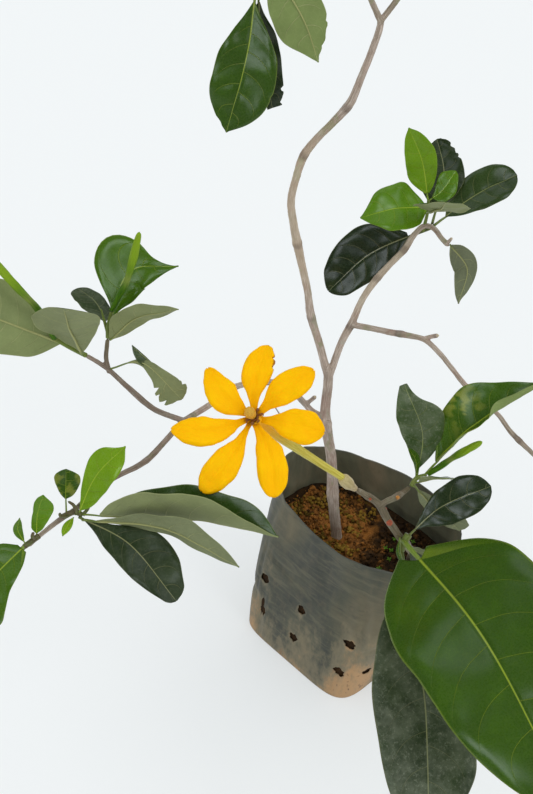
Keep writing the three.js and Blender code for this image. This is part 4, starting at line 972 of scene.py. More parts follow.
def add_sheet(shape, points, normal, relief, thick, looks, place, tone):
    """A closed sheet of the given thickness round a lattice, with a look for each of its two faces."""
    rows, cols = points.shape[:2]
    loop = np.concatenate([points + normal * (relief + thick / 2)[..., None],
                           (points + normal * (relief - thick / 2)[..., None])[:, ::-1]], axis=1)
    faces = grid_faces(rows, 2 * cols, wrap=True)
    upper = np.tile(np.arange(2 * cols) < cols - 1, rows - 1)
    last = (rows - 1) * 2 * cols
    ends = np.array([[i, i + 1, 2 * cols - 2 - i, 2 * cols - 1 - i] for i in range(cols - 1)])
    faces = np.concatenate([faces, ends[:, ::-1], last + ends])
    middle = rows // 2
    turn = np.cross(loop[middle, 1] - loop[middle, 0], loop[middle + 1, 0] - loop[middle, 0]) @ normal[middle, 0]
    if turn < 0:
        faces = faces[:, ::-1]
    look = np.concatenate([np.where(upper, looks[0], looks[1]), np.full(2 * len(ends), looks[0])])
    both = [np.concatenate([v, v[:, ::-1]], axis=1).reshape(-1, 3) for v in (place, tone)]
    shape.add(loop.reshape(-1, 3), faces, look, *both)


def add_leaf(shape, entry, sizes, rng):
    """One leaf: blade with sunken side veins and a raised midrib below, on its stalk."""
    facing = np.asarray(entry["face"], float)
    whole = route_points(entry["route"], [0, 1])[2]
    widest = max(half_widths(entry, key, np.linspace(0, 1, 21)).max() for key in ("left", "right"))
    rows = int(np.clip(whole / sizes.leaf_step * MM, 20, 150))
    cols = int(np.clip(2 * widest / sizes.leaf_step * MM, 15, 80)) | 1
    points, u, s, half, length = blade_lattice(entry, rows, cols)
    normal = lattice_normals(points, facing)
    side = np.abs(s)[None, :]
    pairs = entry.get("pairs", float(np.clip(length / 9.5, 4, sizes.vein_pairs)))
    phase = pairs * np.maximum(u[:, None] - 0.06 * side - 0.15 * side**3, 0) ** 0.85 + np.where(s > 0, 0.4, 0.0)
    seed = rng.uniform(0, 50)
    calm = np.clip(0.75 + noise_at(points, max(12.0, widest * 0.7), seed + 20, 1), 0.25, 1.5)
    deep = sizes.vein_relief * np.clip(half / 14, 0.15, 1.7) * calm
    relief = 0.36 * deep * (np.abs(np.sin(math.pi * phase)) ** 0.6 - 0.6) * np.minimum(1, side * 5) * (1 - side**4)
    relief = relief - 0.5 * deep * np.exp(-((side * half / 1.0) ** 2))
    for size, amount in ((max(11.0, widest * 0.9), min(2.0, widest * 0.08)), (max(5.0, widest * 0.35), widest * 0.012)):
        swell = noise_at(points, size, seed, 1)
        relief = relief + swell * amount * np.minimum(1, 5 * u)[:, None]
    thick = sizes.leaf_thickness / MM * np.sqrt(np.clip(1 - side**6, 0.12, 1)) * np.ones((rows, 1))
    patches = 0.0
    if "blotch" in entry:
        patches = noise_at(points, 5.5, seed + 9, 3) + 0.3 * side**2
        most, centre, spread = entry["blotch"]
        patches = most * smooth(patches, 0.2, 0.42) * np.exp(-(((u[:, None] - centre) / spread) ** 2))
    # The third tone value is the grey smears and specks: real dust and painted sheen.
    tone = three(entry["age"] + 0 * half, patches, entry.get("dust", 0.0))
    shape.stretch = (length, pairs, 0.2 + 0.0042 * length)
    add_sheet(shape, points, normal, relief, thick, (0, 1), three(u[:, None], s[None, :], half), tone)
    add_midrib(shape, entry, points, normal, relief, u)


def add_midrib(shape, entry, points, normal, relief, u):
    """The stalk, which runs on below the blade as a raised midrib."""
    stalk = entry.get("stalk", 0.12)
    size = 0.85 * float(np.clip(entry["width"] / 30, 0.4, 2.2)) ** 0.8
    middle, keep = points.shape[1] // 2, u < 0.93
    rib = (0.62 * (1 - u[keep]) ** 0.8 + 0.14) * size
    below = points[keep, middle] + normal[keep, middle] * (relief[keep, middle] - rib - 0.05)[:, None]
    foot, _, _ = route_points(entry["route"], np.linspace(0, stalk, max(3, int(stalk * 40))))
    path = np.vstack([foot[:-1], below])
    radius = np.concatenate([np.linspace(1.05, 0.8, len(foot))[:-1] * size, rib])
    good = np.concatenate([[True], np.linalg.norm(np.diff(path, axis=0), axis=1) > 0.25])
    path, radius = path[good].copy(), radius[good]
    path[1:-1] = 0.25 * path[:-2] + 0.5 * path[1:-1] + 0.25 * path[2:]
    pale = smooth(np.arange(len(path)), len(foot) - 2, len(foot) + 4) * 0.8
    shape.tube(path, radius, 10, 2, three(entry["age"], 0.0, pale))


# ---- bag and soil


def lip_height(angle):
    return BAG_HEIGHT + 4 * np.sin(2 * angle + 0.6) + 1.2 * np.sin(5 * angle)


def bag_points(share, angle, inset=0.0):
    """Points of the bag's wall at shares of its height and angles in its own frame."""
    share, angle = np.broadcast_arrays(np.asarray(share, float), np.asarray(angle, float))
    spread = smooth(share, -0.15, 1.1)
    power = 2 / (BAG_SQUARENESS[0] + (BAG_SQUARENESS[1] - BAG_SQUARENESS[0]) * spread)
    along, across = (((base + (rim - base) * spread) / 2 - inset) * np.sign(way) * np.abs(way) ** power
                     for base, rim, way in zip(BAG_BASE, BAG_RIM, (np.cos(angle), np.sin(angle))))
    x = along * math.cos(BAG_TURN) - across * math.sin(BAG_TURN) + BAG_RIM_CENTRE[0] * spread
    y = along * math.sin(BAG_TURN) + across * math.cos(BAG_TURN) + BAG_RIM_CENTRE[1] * spread
    return np.stack([x, y, share * lip_height(angle)], -1)


def bag_angles(count):
    """Angles that space the points of the squarish footprint evenly enough."""
    fine = np.linspace(0, 2 * math.pi, 7201)
    ring = bag_points(0.35, fine)
    run = np.concatenate([[0], np.cumsum(np.linalg.norm(np.diff(ring, axis=0), axis=1))])
    return np.interp(np.arange(count) / count * run[-1], run, fine)


def crease_depth(share, angle, rng, count, depth):
    """How far soft folds press the film in, in millimetres."""
    total = np.zeros(np.broadcast(share, angle).shape)
    for _ in range(count):
        at, slope = rng.uniform(0, 2 * math.pi), rng.uniform(-0.5, 0.5)
        width, high = rng.uniform(0.03, 0.10), rng.uniform(0.1, 1.0)
        reach, amount = rng.uniform(0.16, 0.45), rng.uniform(0.3, 1.0) * depth
        away = np.angle(np.exp(1j * (angle - at - slope * (share - high))))
        window = np.exp(-(((share - high) / reach) ** 2))
        ridge = np.exp(-((away / width) ** 2)) - 0.55 * np.exp(-(((away - 1.7 * width) / width) ** 2))
        total += amount * window * ridge
    for _ in range(count // 2):
        at, high = rng.uniform(0, 2 * math.pi), rng.uniform(0.1, 0.9)
        tilt, width = rng.uniform(-0.25, 0.25), rng.uniform(0.015, 0.04)
        reach, amount = rng.uniform(0.2, 0.7), rng.uniform(0.3, 0.9) * depth
        away = np.angle(np.exp(1j * (angle - at)))
        line = share - high - tilt * away
        total += amount * np.exp(-((line / width) ** 2)) * np.exp(-((away / reach) ** 2))
    return total


def drain_places():
    """Where the drain holes' middles are, and the way each looks."""
    fine = np.arange(360) / 180 * math.pi
    places = []
    for height, angles in DRAIN_ROWS:
        wall = bag_points(height / BAG_HEIGHT, fine, 0.5)
        ways = wall[:, :2] / np.linalg.norm(wall[:, :2], axis=1, keepdims=True)
        for degrees in angles:
            turn = math.radians(degrees)
            out = np.array([math.cos(turn), math.sin(turn)])
            nearest = wall[np.argmax(ways @ out)]
            places.append((np.array([nearest[0], nearest[1], height]), np.array([out[0], out[1], 0.0])))
    return places


def hole_cutters(diameter, rng):
    """Short ragged plugs that the drain holes are cut with."""
    shape = Shape()
    for centre, out in drain_places():
        path = centre + out * np.linspace(-6, 6, 3)[:, None]
        sides = 20
        angle = ring_angles(sides)
        ragged = 1 + sum(rng.uniform(0.03, 0.11) * np.sin(k * angle + rng.uniform(0, 6.28)) for k in (2, 3, 5, 7))
        shape.tube(path, np.tile(diameter / 2 * ragged, (3, 1)), sides)
    return shape.make("hole_cutters", [])


def bag_shape(sizes):
    """The film as one closed skin: outside, lip, inside and floor."""
    angle = bag_angles(300)
    outer = np.concatenate([np.linspace(0, 0.04, 5), np.linspace(0.055, 0.985, 96), [0.993, 1.0]])
    inner = np.concatenate([[0.999, 0.99], np.linspace(0.975, 0.05, 74)])
    rows, tones = [], []
    holes = drain_places()
    creases = np.random.default_rng(5).spawn(1)[0]
    both = np.concatenate([outer, inner])
    depth = crease_depth(both[:, None], angle[None, :], creases, 26, sizes.crease_depth / MM)
    # one wall follows the other, so the inner rows take the creases of the outer wall at the same height
    outer_depth = depth[:len(outer)]
    inner_depth = np.stack([np.interp(inner, outer, outer_depth[:, k]) for k in range(len(angle))], 1)
    wall = sizes.film_thickness / MM
    for shares, press, inset in ((outer, outer_depth, 0.0), (inner, inner_depth, wall)):
        points = bag_points(shares[:, None], angle[None, :], inset)
        inward = -unit(np.stack([np.gradient(points[..., 1], axis=1), -np.gradient(points[..., 0], axis=1),
                                 np.zeros(points.shape[:2])], -1))
        hem = smooth(shares, 0.93, 1.0)[:, None]
        ripple = hem * (0.7 * np.sin(7 * angle + 1) + 0.25 * np.sin(19 * angle))[None, :]
        calm = smooth(shares, 0.0, 0.05)[:, None]
        points = points + inward * (press * calm + ripple)[..., None]
        rows.append(points)
        below = 0.75 * np.maximum(0, 1 - points[..., 2] / 18) ** 0.5
        lower = 0.6 * np.maximum(0, 1 - points[..., 2] / 85) ** 0.8
        stain = np.maximum(below, lower)
        for place, reach, high, most in STAINS:
            corner = np.linalg.norm(points[..., :2] - np.array(place), axis=-1)
            near = most * np.exp(-((corner / reach) ** 2)) * np.maximum(0, 1 - points[..., 2] / high) ** 0.7
            stain = np.maximum(stain, near)
        for centre, _ in holes:
            flat = np.linalg.norm(points[..., :2] - centre[:2], axis=-1)
            drop = centre[2] - points[..., 2]
            halo = np.exp(-((flat / 6.5) ** 2) - np.where(drop > 0, (drop / 12) ** 2, (drop / 6) ** 2))
            stain = np.maximum(stain, 0.85 * halo)
        worn = np.clip(press / (sizes.crease_depth / MM) * -1.2, 0, 1) * 0.8
        lip = smooth(shares, 0.985, 1.0)[:, None]
        tones.append(three(np.clip(stain, 0, 1), worn, lip * 0.6))
    points, tone = np.concatenate(rows), np.concatenate(tones)
    count, ring = points.shape[0], len(angle)
    faces = grid_faces(count, ring, wrap=True)
    looks = [0 if i // ring < len(outer) else 1 for i in range(len(faces))] + [0] * ring + [1] * ring
    hub = count * ring
    faces += fan_faces(0, ring, hub, flip=True) + fan_faces(hub - ring, ring, hub + 1)
    points = np.vstack([points.reshape(-1, 3), points[0].mean(0), points[-1].mean(0)])
    shape = Shape()
    shape.add(points, faces, looks, points, np.vstack([tone.reshape(-1, 3), (0.9, 0, 0), (0.3, 0, 0)]))
    return shape


def soil_height(x, y):
    return np.sin(x / 9 + 1) * np.cos(y / 8) + 0.6 * np.sin((x + y) / 6) + 0.4 * np.cos((x - 2 * y) / 10)


def soil_surface(angle, reach):
    """Points of the soil's top at shares of the way from the middle to the film."""
    edge = bag_points(SOIL_FILL, angle, 1.5)
    centre = bag_points(SOIL_FILL, np.linspace(0, 2 * math.pi, 64, endpoint=False), 1.5).mean(0)
    flat = centre[None, None] + (edge[None] - centre[None, None]) * reach[:, None, None]
    bump = 3 * (0.6 + soil_height(flat[..., 0], flat[..., 1]) * 0.5) * np.minimum(1, (1 - reach) * 5)[:, None]
    level = centre[2] * (1 - reach[:, None] ** 3) + edge[None, :, 2] * reach[:, None] ** 3
    return np.stack([flat[..., 0], flat[..., 1], level + bump], -1), centre


def ball():
    """The points and faces of a coarse round ball."""
    bm = bmesh.new()
    bmesh.ops.create_icosphere(bm, subdivisions=1, radius=1.0)
    made = np.array([v.co[:] for v in bm.verts]), [[v.index for v in f.verts] for f in bm.faces]
    bm.free()
    return made


BALL = ball()


def lump(radius, rng, squash=0.7):
    """A rough grain: a ball's points moved at random, as (points, faces)."""
    points, faces = BALL
    rough = 1 + rng.uniform(-0.22, 0.22, len(points))
    return points * rough[:, None] * radius * np.array([1, rng.uniform(0.7, 1.0), squash]), faces


def turn_matrix(rng):
    """A random turn as a 3 by 3 matrix."""
    a = unit(rng.normal(size=3))
    b = unit(np.cross(a, rng.normal(size=3)))
    return np.stack([a, b, np.cross(a, b)])


# ---- flower


def add_lobe(shape, number, sizes):
    """One lobe of the flower, thick along its middle, with a thin, slightly rolled edge."""
    tip, bow, widths = LOBES[number]
    tip = np.asarray(tip, float)
    reach = tip - THROAT
    lift = FACING * (0.5 if number % 2 else -0.3)
    left = unit(np.cross(FACING, reach))
    middle = THROAT + reach * 0.5 + FACING * 2.4 + lift + left * bow
    scale = sizes.lobe_width / MM / 20
    widths = tuple(w * scale for w in widths)
    entry = {"route": (THROAT + reach * 0.03 + lift - FACING, middle, tip), "face": FACING, "width": 20, "fold": 0.12,
             "wave": 0.4, "stalk": 0.0, "roll": 0.22, "left": widths, "right": widths, "rounded": 0.17}
    if number == 0:
        entry["torn"] = ((sizes.brown_side, 0.66, 0.97, 0.9),)
    rows, cols = 52, 33
    points, u, s, half, _ = blade_lattice(entry, rows, cols)
    normal = lattice_normals(points, FACING)
    side = np.abs(s)[None, :]
    soft = noise_at(points, 8.0, 3.0 + number, 2)
    crinkle = noise_at(points, 3.0, 9.0 + number, 2)
    grooves = 0.07 * np.sin(7 * s + 1.3 * number)[None, :] * np.sin(math.pi * u)[:, None]
    relief = 0.75 * soft + 0.10 * crinkle + grooves
    relief = relief - 0.45 * np.exp(-((side * half / 1.3) ** 2)) * np.sin(math.pi * u)[:, None]
    thick = 0.4 + 1.1 * (1 - side**2) * np.sqrt(np.clip(1 - u[:, None] ** 3, 0.05, 1)) * np.minimum(1, half / 4)
    edge = np.maximum(smooth(side + 0.05 * crinkle, 0.9, 1.0), smooth(u[:, None] + 0.02 * soft, 0.965, 1.0))
    brown = 0.0
    if number == 0:
        ragged = s[None, :] * sizes.brown_side + 0.12 * crinkle
        window = smooth(u[:, None], 0.66, 0.72) * (1 - smooth(u[:, None], 0.95, 0.99))
        brown = 0.85 * smooth(ragged, 0.86, 0.97) * window
    # Painted shade: the foot of every lobe, down in the throat, is browned.
    brown = np.maximum(brown, 0.55 * (1 - smooth(u[:, None], 0.03, 0.12)))
    add_sheet(shape, points, normal, relief, thick, (0, 0), three(u[:, None], s[None, :], half), three(edge, brown))


def add_flower_tube(shape):
    """The pale tube, which opens at the throat and turns in, with its inside painted dark brown as shade."""
    shares = np.linspace(0, 1, 44)
    path, _, length = route_points(TUBE["route"], shares)
    radius = np.interp(shares, np.linspace(0, 1, 4), TUBE["radii"])
    inside = np.linspace(0.995, 0.86, 9)
    inner_path, _, _ = route_points(TUBE["route"], inside)
    inner_radius = np.interp(inside, (0.86, 0.995), (1.2, 3.2))
    sides = 24
    angle = ring_angles(sides)
    ribs = 1 + 0.045 * np.cos(6 * angle)[None, :] * np.ones((len(shares), 1))
    grid = np.vstack([radius[:, None] * ribs, inner_radius[:, None] * np.ones(sides)])
    line = np.vstack([path, inner_path])
    directions = unit(np.gradient(path, axis=0))
    across, up = carried_frames(directions)
    across = np.vstack([across, np.tile(across[-1], (len(inside), 1))])
    up = np.vstack([up, np.tile(up[-1], (len(inside), 1))])
    points = line[:, None] + (across[:, None] * np.cos(angle)[None, :, None]
                              + up[:, None] * np.sin(angle)[None, :, None]) * grid[..., None]
    rows = len(line)
    faces = grid_faces(rows, sides, wrap=True)
    # The inner rows take the third look: dark brown, painted shade.
    looks = [1 if i // sides < len(shares) else 2 for i in range(len(faces))]
    faces += [list(range(sides))[::-1], [(rows - 1) * sides + i for i in range(sides)]]
    looks += [1, 2]
    reach = np.concatenate([smooth(shares, 0.45, 1.0), np.ones(len(inside))])
    run = np.concatenate([shares * length, np.full(len(inside), length)])
    place = three(np.cos(angle) * grid, np.sin(angle) * grid, run[:, None])
    shape.add(points, faces, looks, place.reshape(-1, 3), three(np.repeat(reach, sides)))


def bud_rings(route):
    """Path and ring radii of a bud with lengthwise ribs that twist round its upper half."""
    shares = np.linspace(0, 1, 70)
    path, _, length = route_points(route, shares)
    radius = np.interp(shares, np.linspace(0, 1, len(BUD_RADII)), BUD_RADII)
    kernel = np.array([1, 2, 3, 4, 3, 2, 1], float) / 16
    padded = np.concatenate([np.full(3, radius[0]), radius, np.full(3, radius[-1])])
    radius = np.convolve(padded, kernel, "valid")
    end = np.clip((1 - shares) * length / 2.6, 0, 1)
    radius = radius * np.sqrt(np.clip(1 - (1 - end) ** 2, 0.02, 1))
    swirl = BUD_TWIST * smooth(shares, 0.45, 1.0)[:, None]
    wave = np.cos(BUD_RIBS * (ring_angles(BUD_SIDES)[None, :] + swirl))
    grid = radius[:, None] * (1 + (0.03 + 0.06 * smooth(shares, 0.4, 0.7))[:, None] * wave)
    return path, grid, shares


# ---- settings


def colour_setting(name, description, *default):
    return bpy.props.FloatVectorProperty(
        name=name, description=description, subtype="COLOR", size=3, min=0, max=1, default=default)


def length_setting(name, description, default):
    return bpy.props.FloatProperty(name=name, description=description, default=default, unit="LENGTH")


def amount_setting(name, description, default, **limits):
    return bpy.props.FloatProperty(name=name, description=description, default=default, **limits)


class GardeniaBagSettings(bpy.types.PropertyGroup):
    film_colour: colour_setting("Film colour", "Colour of the film in the viewport", 0.075, 0.08, 0.065)
    film_thickness: length_setting("Film thickness", "Thickness of the bag's film", 0.0006)
    crease_depth: length_setting("Crease depth", "How deep the film's soft folds are", 0.0016)
    hole_diameter: length_setting("Drain hole", "Diameter of a punched drain hole", 0.0084)


class GardeniaSoilSettings(bpy.types.PropertyGroup):
    grains: bpy.props.IntProperty(
        name="Grains", description="Number of loose crumbs on the soil", default=2200, min=0)
    moss_clumps: bpy.props.IntProperty(
        name="Moss clumps", description="Number of moss clumps on the left of the soil", default=70, min=0)
    weeds: bpy.props.IntProperty(name="Weeds", description="Number of tiny seedlings", default=20, min=0)


class GardeniaStemSettings(bpy.types.PropertyGroup):
    bark_colour: colour_setting("Bark colour", "Colour of the bark in the viewport", 0.27, 0.2, 0.15)
    roughness: amount_setting("Unevenness", "How far the stems stray from round", 0.05, min=0, max=0.3)
    skin_step: length_setting("Skin step", "Size of the cells that blend the forks", 0.0006)


class GardeniaLeafSettings(bpy.types.PropertyGroup):
    old_colour: colour_setting("Old leaf colour", "Colour of an old leaf in the viewport", 0.03, 0.07, 0.02)
    under_colour: colour_setting("Underside colour", "Colour of an underside in the viewport", 0.16, 0.2, 0.08)
    leaf_thickness: length_setting("Leaf thickness", "Thickness of a leaf away from its midrib", 0.0006)
    leaf_step: length_setting("Leaf mesh step", "Spacing of a leaf's mesh", 0.0012)
    vein_pairs: amount_setting("Vein pairs", "Pairs of side veins in a leaf", 8.0, min=3, max=16)
    shoot_wood: amount_setting("Shoot wood", "How far the green shoots have turned to wood", 0.35, min=0, max=1)
    vein_relief: amount_setting("Vein relief", "How deeply the veins are pressed in", 1.0, min=0, max=3)


class GardeniaFlowerSettings(bpy.types.PropertyGroup):
    petal_colour: colour_setting("Petal colour", "Colour of the petals in the viewport", 0.95, 0.5, 0.002)
    lobe_width: length_setting("Lobe width", "Greatest width of a lobe", 0.020)
    brown_side: bpy.props.IntProperty(
        name="Brown side", description="Side of the first lobe whose edge has dried: 1 or -1", default=1)


class GardeniaStageSettings(bpy.types.PropertyGroup):
    floor_colour: colour_setting("Floor colour", "Colour of the pale floor", 0.468, 0.471, 0.471)
    floor_glow: colour_setting(
        "Floor glow", "Light that the floor gives off, which keeps shadows faint", 0.403, 0.419, 0.423)
    horizon_colour: colour_setting("Horizon colour", "Colour seen beyond the floor", 0.9, 0.93, 0.94)
    key_strength: amount_setting("Key light", "Strength of the main light from the upper right", 0.45, min=0)
    back_strength: amount_setting("Back light", "Strength of the light from behind on the left", 0.25, min=0)
    sky_strength: amount_setting("Fill light", "Strength of the even light from all round", 0.95, min=0)
    gloss_room: amount_setting("Room in the gloss", "How bright the room looks in glossy faces", 0.08, min=0)
    gloss_window: amount_setting("Window in the gloss", "How bright the soft windows look in glossy faces", 6.0, min=0)


# ---- operators


class GARDENIA_OT_bag(bpy.types.Operator):
    """Add the grow bag with its folds, stains and drain holes"""
    bl_idname = "gardenia.bag"
    bl_label = "Grow bag"

    def execute(self, context):
        sizes = context.scene.gardenia_bag
        looks = [film("bag film outside", sizes), film("bag film inside", sizes, inside=True)]
        shape = bag_shape(sizes)
        piece = shape.make("bag_film", looks)
        cutters = hole_cutters(sizes.hole_diameter / MM, np.random.default_rng(23))
        settle(piece, ("BOOLEAN", {"operation": "DIFFERENCE", "solver": "EXACT", "object": cutters}))
        bpy.data.objects.remove(cutters)
        carry_values(piece, *(np.vstack(v) for v in (shape.points, shape.place, shape.tone)))
        place_on_frame(piece, ["grow_bag"])
        return {"FINISHED"}


class GARDENIA_OT_soil(bpy.types.Operator):
    """Add the soil with its crumbs, moss and seedlings"""
    bl_idname = "gardenia.soil"
    bl_label = "Soil and moss"

    def execute(self, context):
        sizes = context.scene.gardenia_soil
        rng = np.random.default_rng(31)
        peat = earth("potting soil", (14, 9, 4), (66, 43, 16), (152, 98, 42))
        moss = earth("moss", (44, 32, 6), (92, 70, 16), (146, 114, 40), 0.0010)
        weed = earth("seedling", (40, 72, 16), (66, 106, 24), (104, 146, 40), 0.0002)
        shape = Shape()
        angle = bag_angles(150)
        reach = np.linspace(0.0, 1.0, 56)[1:][::-1]
        top, centre = soil_surface(angle, reach)
        rough = noise_at(top, 7.0, 4.0, 4)
        top[..., 2] += (2.6 * rough - 0.6) * np.minimum(1, (1 - reach) * 8)[:, None]
        skirt = bag_points(np.linspace(0.03, SOIL_FILL, 14, endpoint=False)[:, None], angle[None, :], 1.5)
        skirt[0, :, 2] = 1.7
        rows = np.concatenate([skirt, top])
        ring, hub = len(angle), len(rows) * len(angle)
        faces = grid_faces(len(rows), ring, wrap=True)
        faces += fan_faces(0, ring, hub, flip=True) + fan_faces(hub - ring, ring, hub + 1)
        points = np.vstack([rows.reshape(-1, 3), skirt[0].mean(0), (centre[0], centre[1], rows[-1][:, 2].mean())])
        warm = self.warmth(points)
        # Painted shade: the soil's sides against the film and the outer edge of its top take the darkest soil colour,
        # for the shade beside the film and behind the drain holes.
        warm[:20 * ring] = 0
        shape.add(points, faces, 0, points, three(warm))
        self.crumbs(shape, sizes.grains, rng)
        self.moss(shape, sizes.moss_clumps, rng)
        self.seedlings(shape, sizes.weeds, rng)
        place_on_frame(shape.make("soil_bed", [peat, moss, weed]), ["soil"])
        return {"FINISHED"}

    def warmth(self, points):
        """Redder soil behind the stem and on the left, dark on the right."""
        red = np.exp(-(((points[:, 0] - 12) / 22) ** 2) - ((points[:, 1] - 18) / 24) ** 2)
        return np.clip(0.4 - (points[:, 0] - 5) / 60 + 1.0 * red + 0.6 * noise_at(points, 13, 8.0), 0, 1)

    def spots(self, count, rng, reach_low=0.0, reach_high=0.93, turn=None):
        """Random places on the soil's top."""
        angle = rng.uniform(0, 2 * math.pi, count) if turn is None else rng.uniform(*turn, count)
        reach = np.sqrt(rng.uniform(reach_low**2, reach_high**2, count))
        return np.array([soil_surface(np.array([a]), np.array([r]))[0][0, 0] for a, r in zip(angle, reach)])

    def crumbs(self, shape, count, rng):
        spots = self.spots(count, rng)
        warm = self.warmth(spots)
        for spot, w in zip(spots, warm):
            points, faces = lump(rng.uniform(0.6, 1.4) ** rng.uniform(1, 4.2), rng)
            points = points @ turn_matrix(rng)
            shade = np.clip(w + rng.uniform(-0.35, 0.35), 0, 1)
            shape.add(points + spot + (0, 0, rng.uniform(0.0, 1.1)), faces, 0, tone=(shade, 0, 0))

    def moss(self, shape, count, rng):
        for spot in self.spots(count, rng, 0.1, 0.84, (1.6, 5.0)):
            base = rng.uniform(0, 0.7)
            for _ in range(rng.integers(8, 18)):
                points, faces = lump(rng.uniform(0.7, 2.2), rng, 0.8)
                shift = np.array([*rng.normal(0, 2.8, 2), rng.uniform(-0.6, 1.6)])
                shape.add(points @ turn_matrix(rng) + spot + shift, faces, 1,
                          tone=(base + rng.uniform(0, 0.4), 0, 0))

    def seedlings(self, shape, count, rng):
        for spot in self.spots(count, rng, 0.3, 0.95, (-1.2, 1.4)):
            height = rng.uniform(2, 5)
            top = spot + (rng.normal(0, 0.8), rng.normal(0, 0.8), height)
            shape.tube(np.linspace(spot, top, 4), np.full(4, 0.22), 6, 2, (0.5, 0, 0))
            for k in range(4):
                way = np.array([math.cos(k * 1.57 + height), math.sin(k * 1.57 + height), 0.25])
                points, faces = lump(1.0, rng, 0.25)
                points = points * (1.3, 0.8, 0.6)
                frame_of = np.stack([way, np.cross((0, 0, 1.0), way), (0, 0, 1.0)])
                shape.add(points @ frame_of + top + way * 1.2, faces, 2, tone=(rng.uniform(0.2, 0.9), 0, 0))


class GARDENIA_OT_stems(bpy.types.Operator):
    """Add the woody stem and the front stem"""
    bl_idname = "gardenia.stems"
    bl_label = "Stems"

    def execute(self, context):
        sizes = context.scene.gardenia_stem
        looks = [bark("bark", sizes)]
        greens = {"leader": (0.0, 0.08), "leader_left_tip": (0.3, 0.75), "leader_right_tip": (0.3, 0.75),
                  "right_arm": (0.0, 0.2), "right_branch": (0.1, 0.35), "lower_twig": (0.1, 0.3),
                  "upper_twig": (0.1, 0.3), "upper_twig_spur": (0.3, 0.8)}
        ends = (
            ((64, 12, 379), 2.2, 0.8), ((54, -33, 332), 2.4, 0.8), ((-22, 2.4, 254.5), 2.4, 0.8),
            ((-57, -17, 268), 1.6, 0.5), ((-126, -135, 316), 2.4, 0.6), ((-40, -14, 410), 80, 0.35),
            ((20, 14, 350), 40, 0.25), ((-164, -181, 317), 2.6, 0.55))
        dots = (
            ((-137.5, -115, 352.6), 2.2, 0.6), ((-160, -176, 318), 1.6, 0.8), ((34.7, 19.9, 365.6), 2.6, 0.45),
            ((-28, -2, 329), 2.4, 0.5), ((-132, -116, 345), 60, 0.42), ((-140, -160, 317), 60, 0.44),
            ((-40, -20, 262), 44, 0.2), ((-8, 4, 190), 70, 0.12))
        piece = blended_stems("woody_stem_skin", LIMBS, looks, greens, ends, dots, sizes, 1)
        place_on_frame(piece, ["woody_stem"])
        front = [bark("green bark", sizes)]
        greens = {"riser": (0.5, 0.9), "flower_twig": (0.75, 0.7), "side_twig": (0.7, 0.9)}
        ends = (((20.8, -160.5, 274), 4.0, 0.55),)
        dots = (((12, -156, 290), 40.0, 0.34), ((34, -118, 226), 90.0, 0.34))
        piece = blended_stems("front_stem_skin", FRONT_LIMBS, front, greens, ends, dots, sizes, 2)
        scar = striped("fresh scar", (120, 48, 22), (176, 86, 48), (206, 150, 60), 0.0003)
        shape = Shape()
        for centre, out, size, tip in (
                ((9.8, -155.5, 295), (-0.2, -0.8, 0.55), 1.5, 0.0), ((12.6, -160.6, 289), (-0.2, -0.85, 0.5), 1.9, 0.0),
                ((17.5, -150.5, 299.5), (0.1, -0.6, 0.8), 1.2, 1.0), ((1, -156.5, 304), (0, -0.8, 0.6), 0.9, 0.0)):
            out = unit(np.array(out))
            path = np.array(centre) + out * np.linspace(-1.2, 0.7 + 1.4 * tip, 6)[:, None]
            shape.tube(path, size * np.array([0.9, 1.0, 1.0, 0.95, 0.8, 0.4]), 14, 0, (tip * 0.6, 0, 0))
        scars = shape.make("front_stem_scars", [scar])
        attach(scars, BODY)
        place_on_frame(piece, ["front_stem"])
        return {"FINISHED"}


class GARDENIA_OT_leaves(bpy.types.Operator):
    """Add every leaf spray"""
    bl_idname = "gardenia.leaves"
    bl_label = "Leaf sprays"

    def execute(self, context):
        sizes = context.scene.gardenia_leaf
        for number, (name, (shoots, leaves)) in enumerate(SPRAYS.items()):
            rng = np.random.default_rng(100 + number)
            shape = Shape()
            for entry in shoots:
                woody = 0.9 if "lower" in name else 0.55 if "front_tip" in name else sizes.shoot_wood
                add_limb(shape, entry, rng, step=0.8, sides=14, look=2, tone=(0.45, woody, 0))
            for entry in leaves:
                add_leaf(shape, entry, sizes, rng)
            piece = shape.make(name.replace("_leaves", "_spray").replace("_leaf", "_blade"), leaf_materials(sizes))
            young = "young" in name
            under = name in ("left_twig_leaves", "left_tip_leaves", "left_low_leaf")
            place_on_frame(piece, [name])
        return {"FINISHED"}


class GARDENIA_OT_buds(bpy.types.Operator):
    """Add the three flower buds"""
    bl_idname = "gardenia.buds"
    bl_label = "Flower buds"

    def execute(self, context):
        skin = striped("bud skin", (44, 88, 2), (82, 124, 4), (132, 162, 20), IOR=1.42, Specular_IOR_Level=0.3)
        for name, route in BUDS.items():
            path, grid, shares = bud_rings(route)
            waist = np.exp(-(((shares - 0.44) / 0.07) ** 2))
            reach = smooth(shares, 0.4, 0.75) * 0.85
            shape = Shape()
            shape.tube(path, grid, BUD_SIDES, 0, three(reach, waist * 0.2))
            place_on_frame(shape.make(name + "_skin", [skin]), [name])
        return {"FINISHED"}


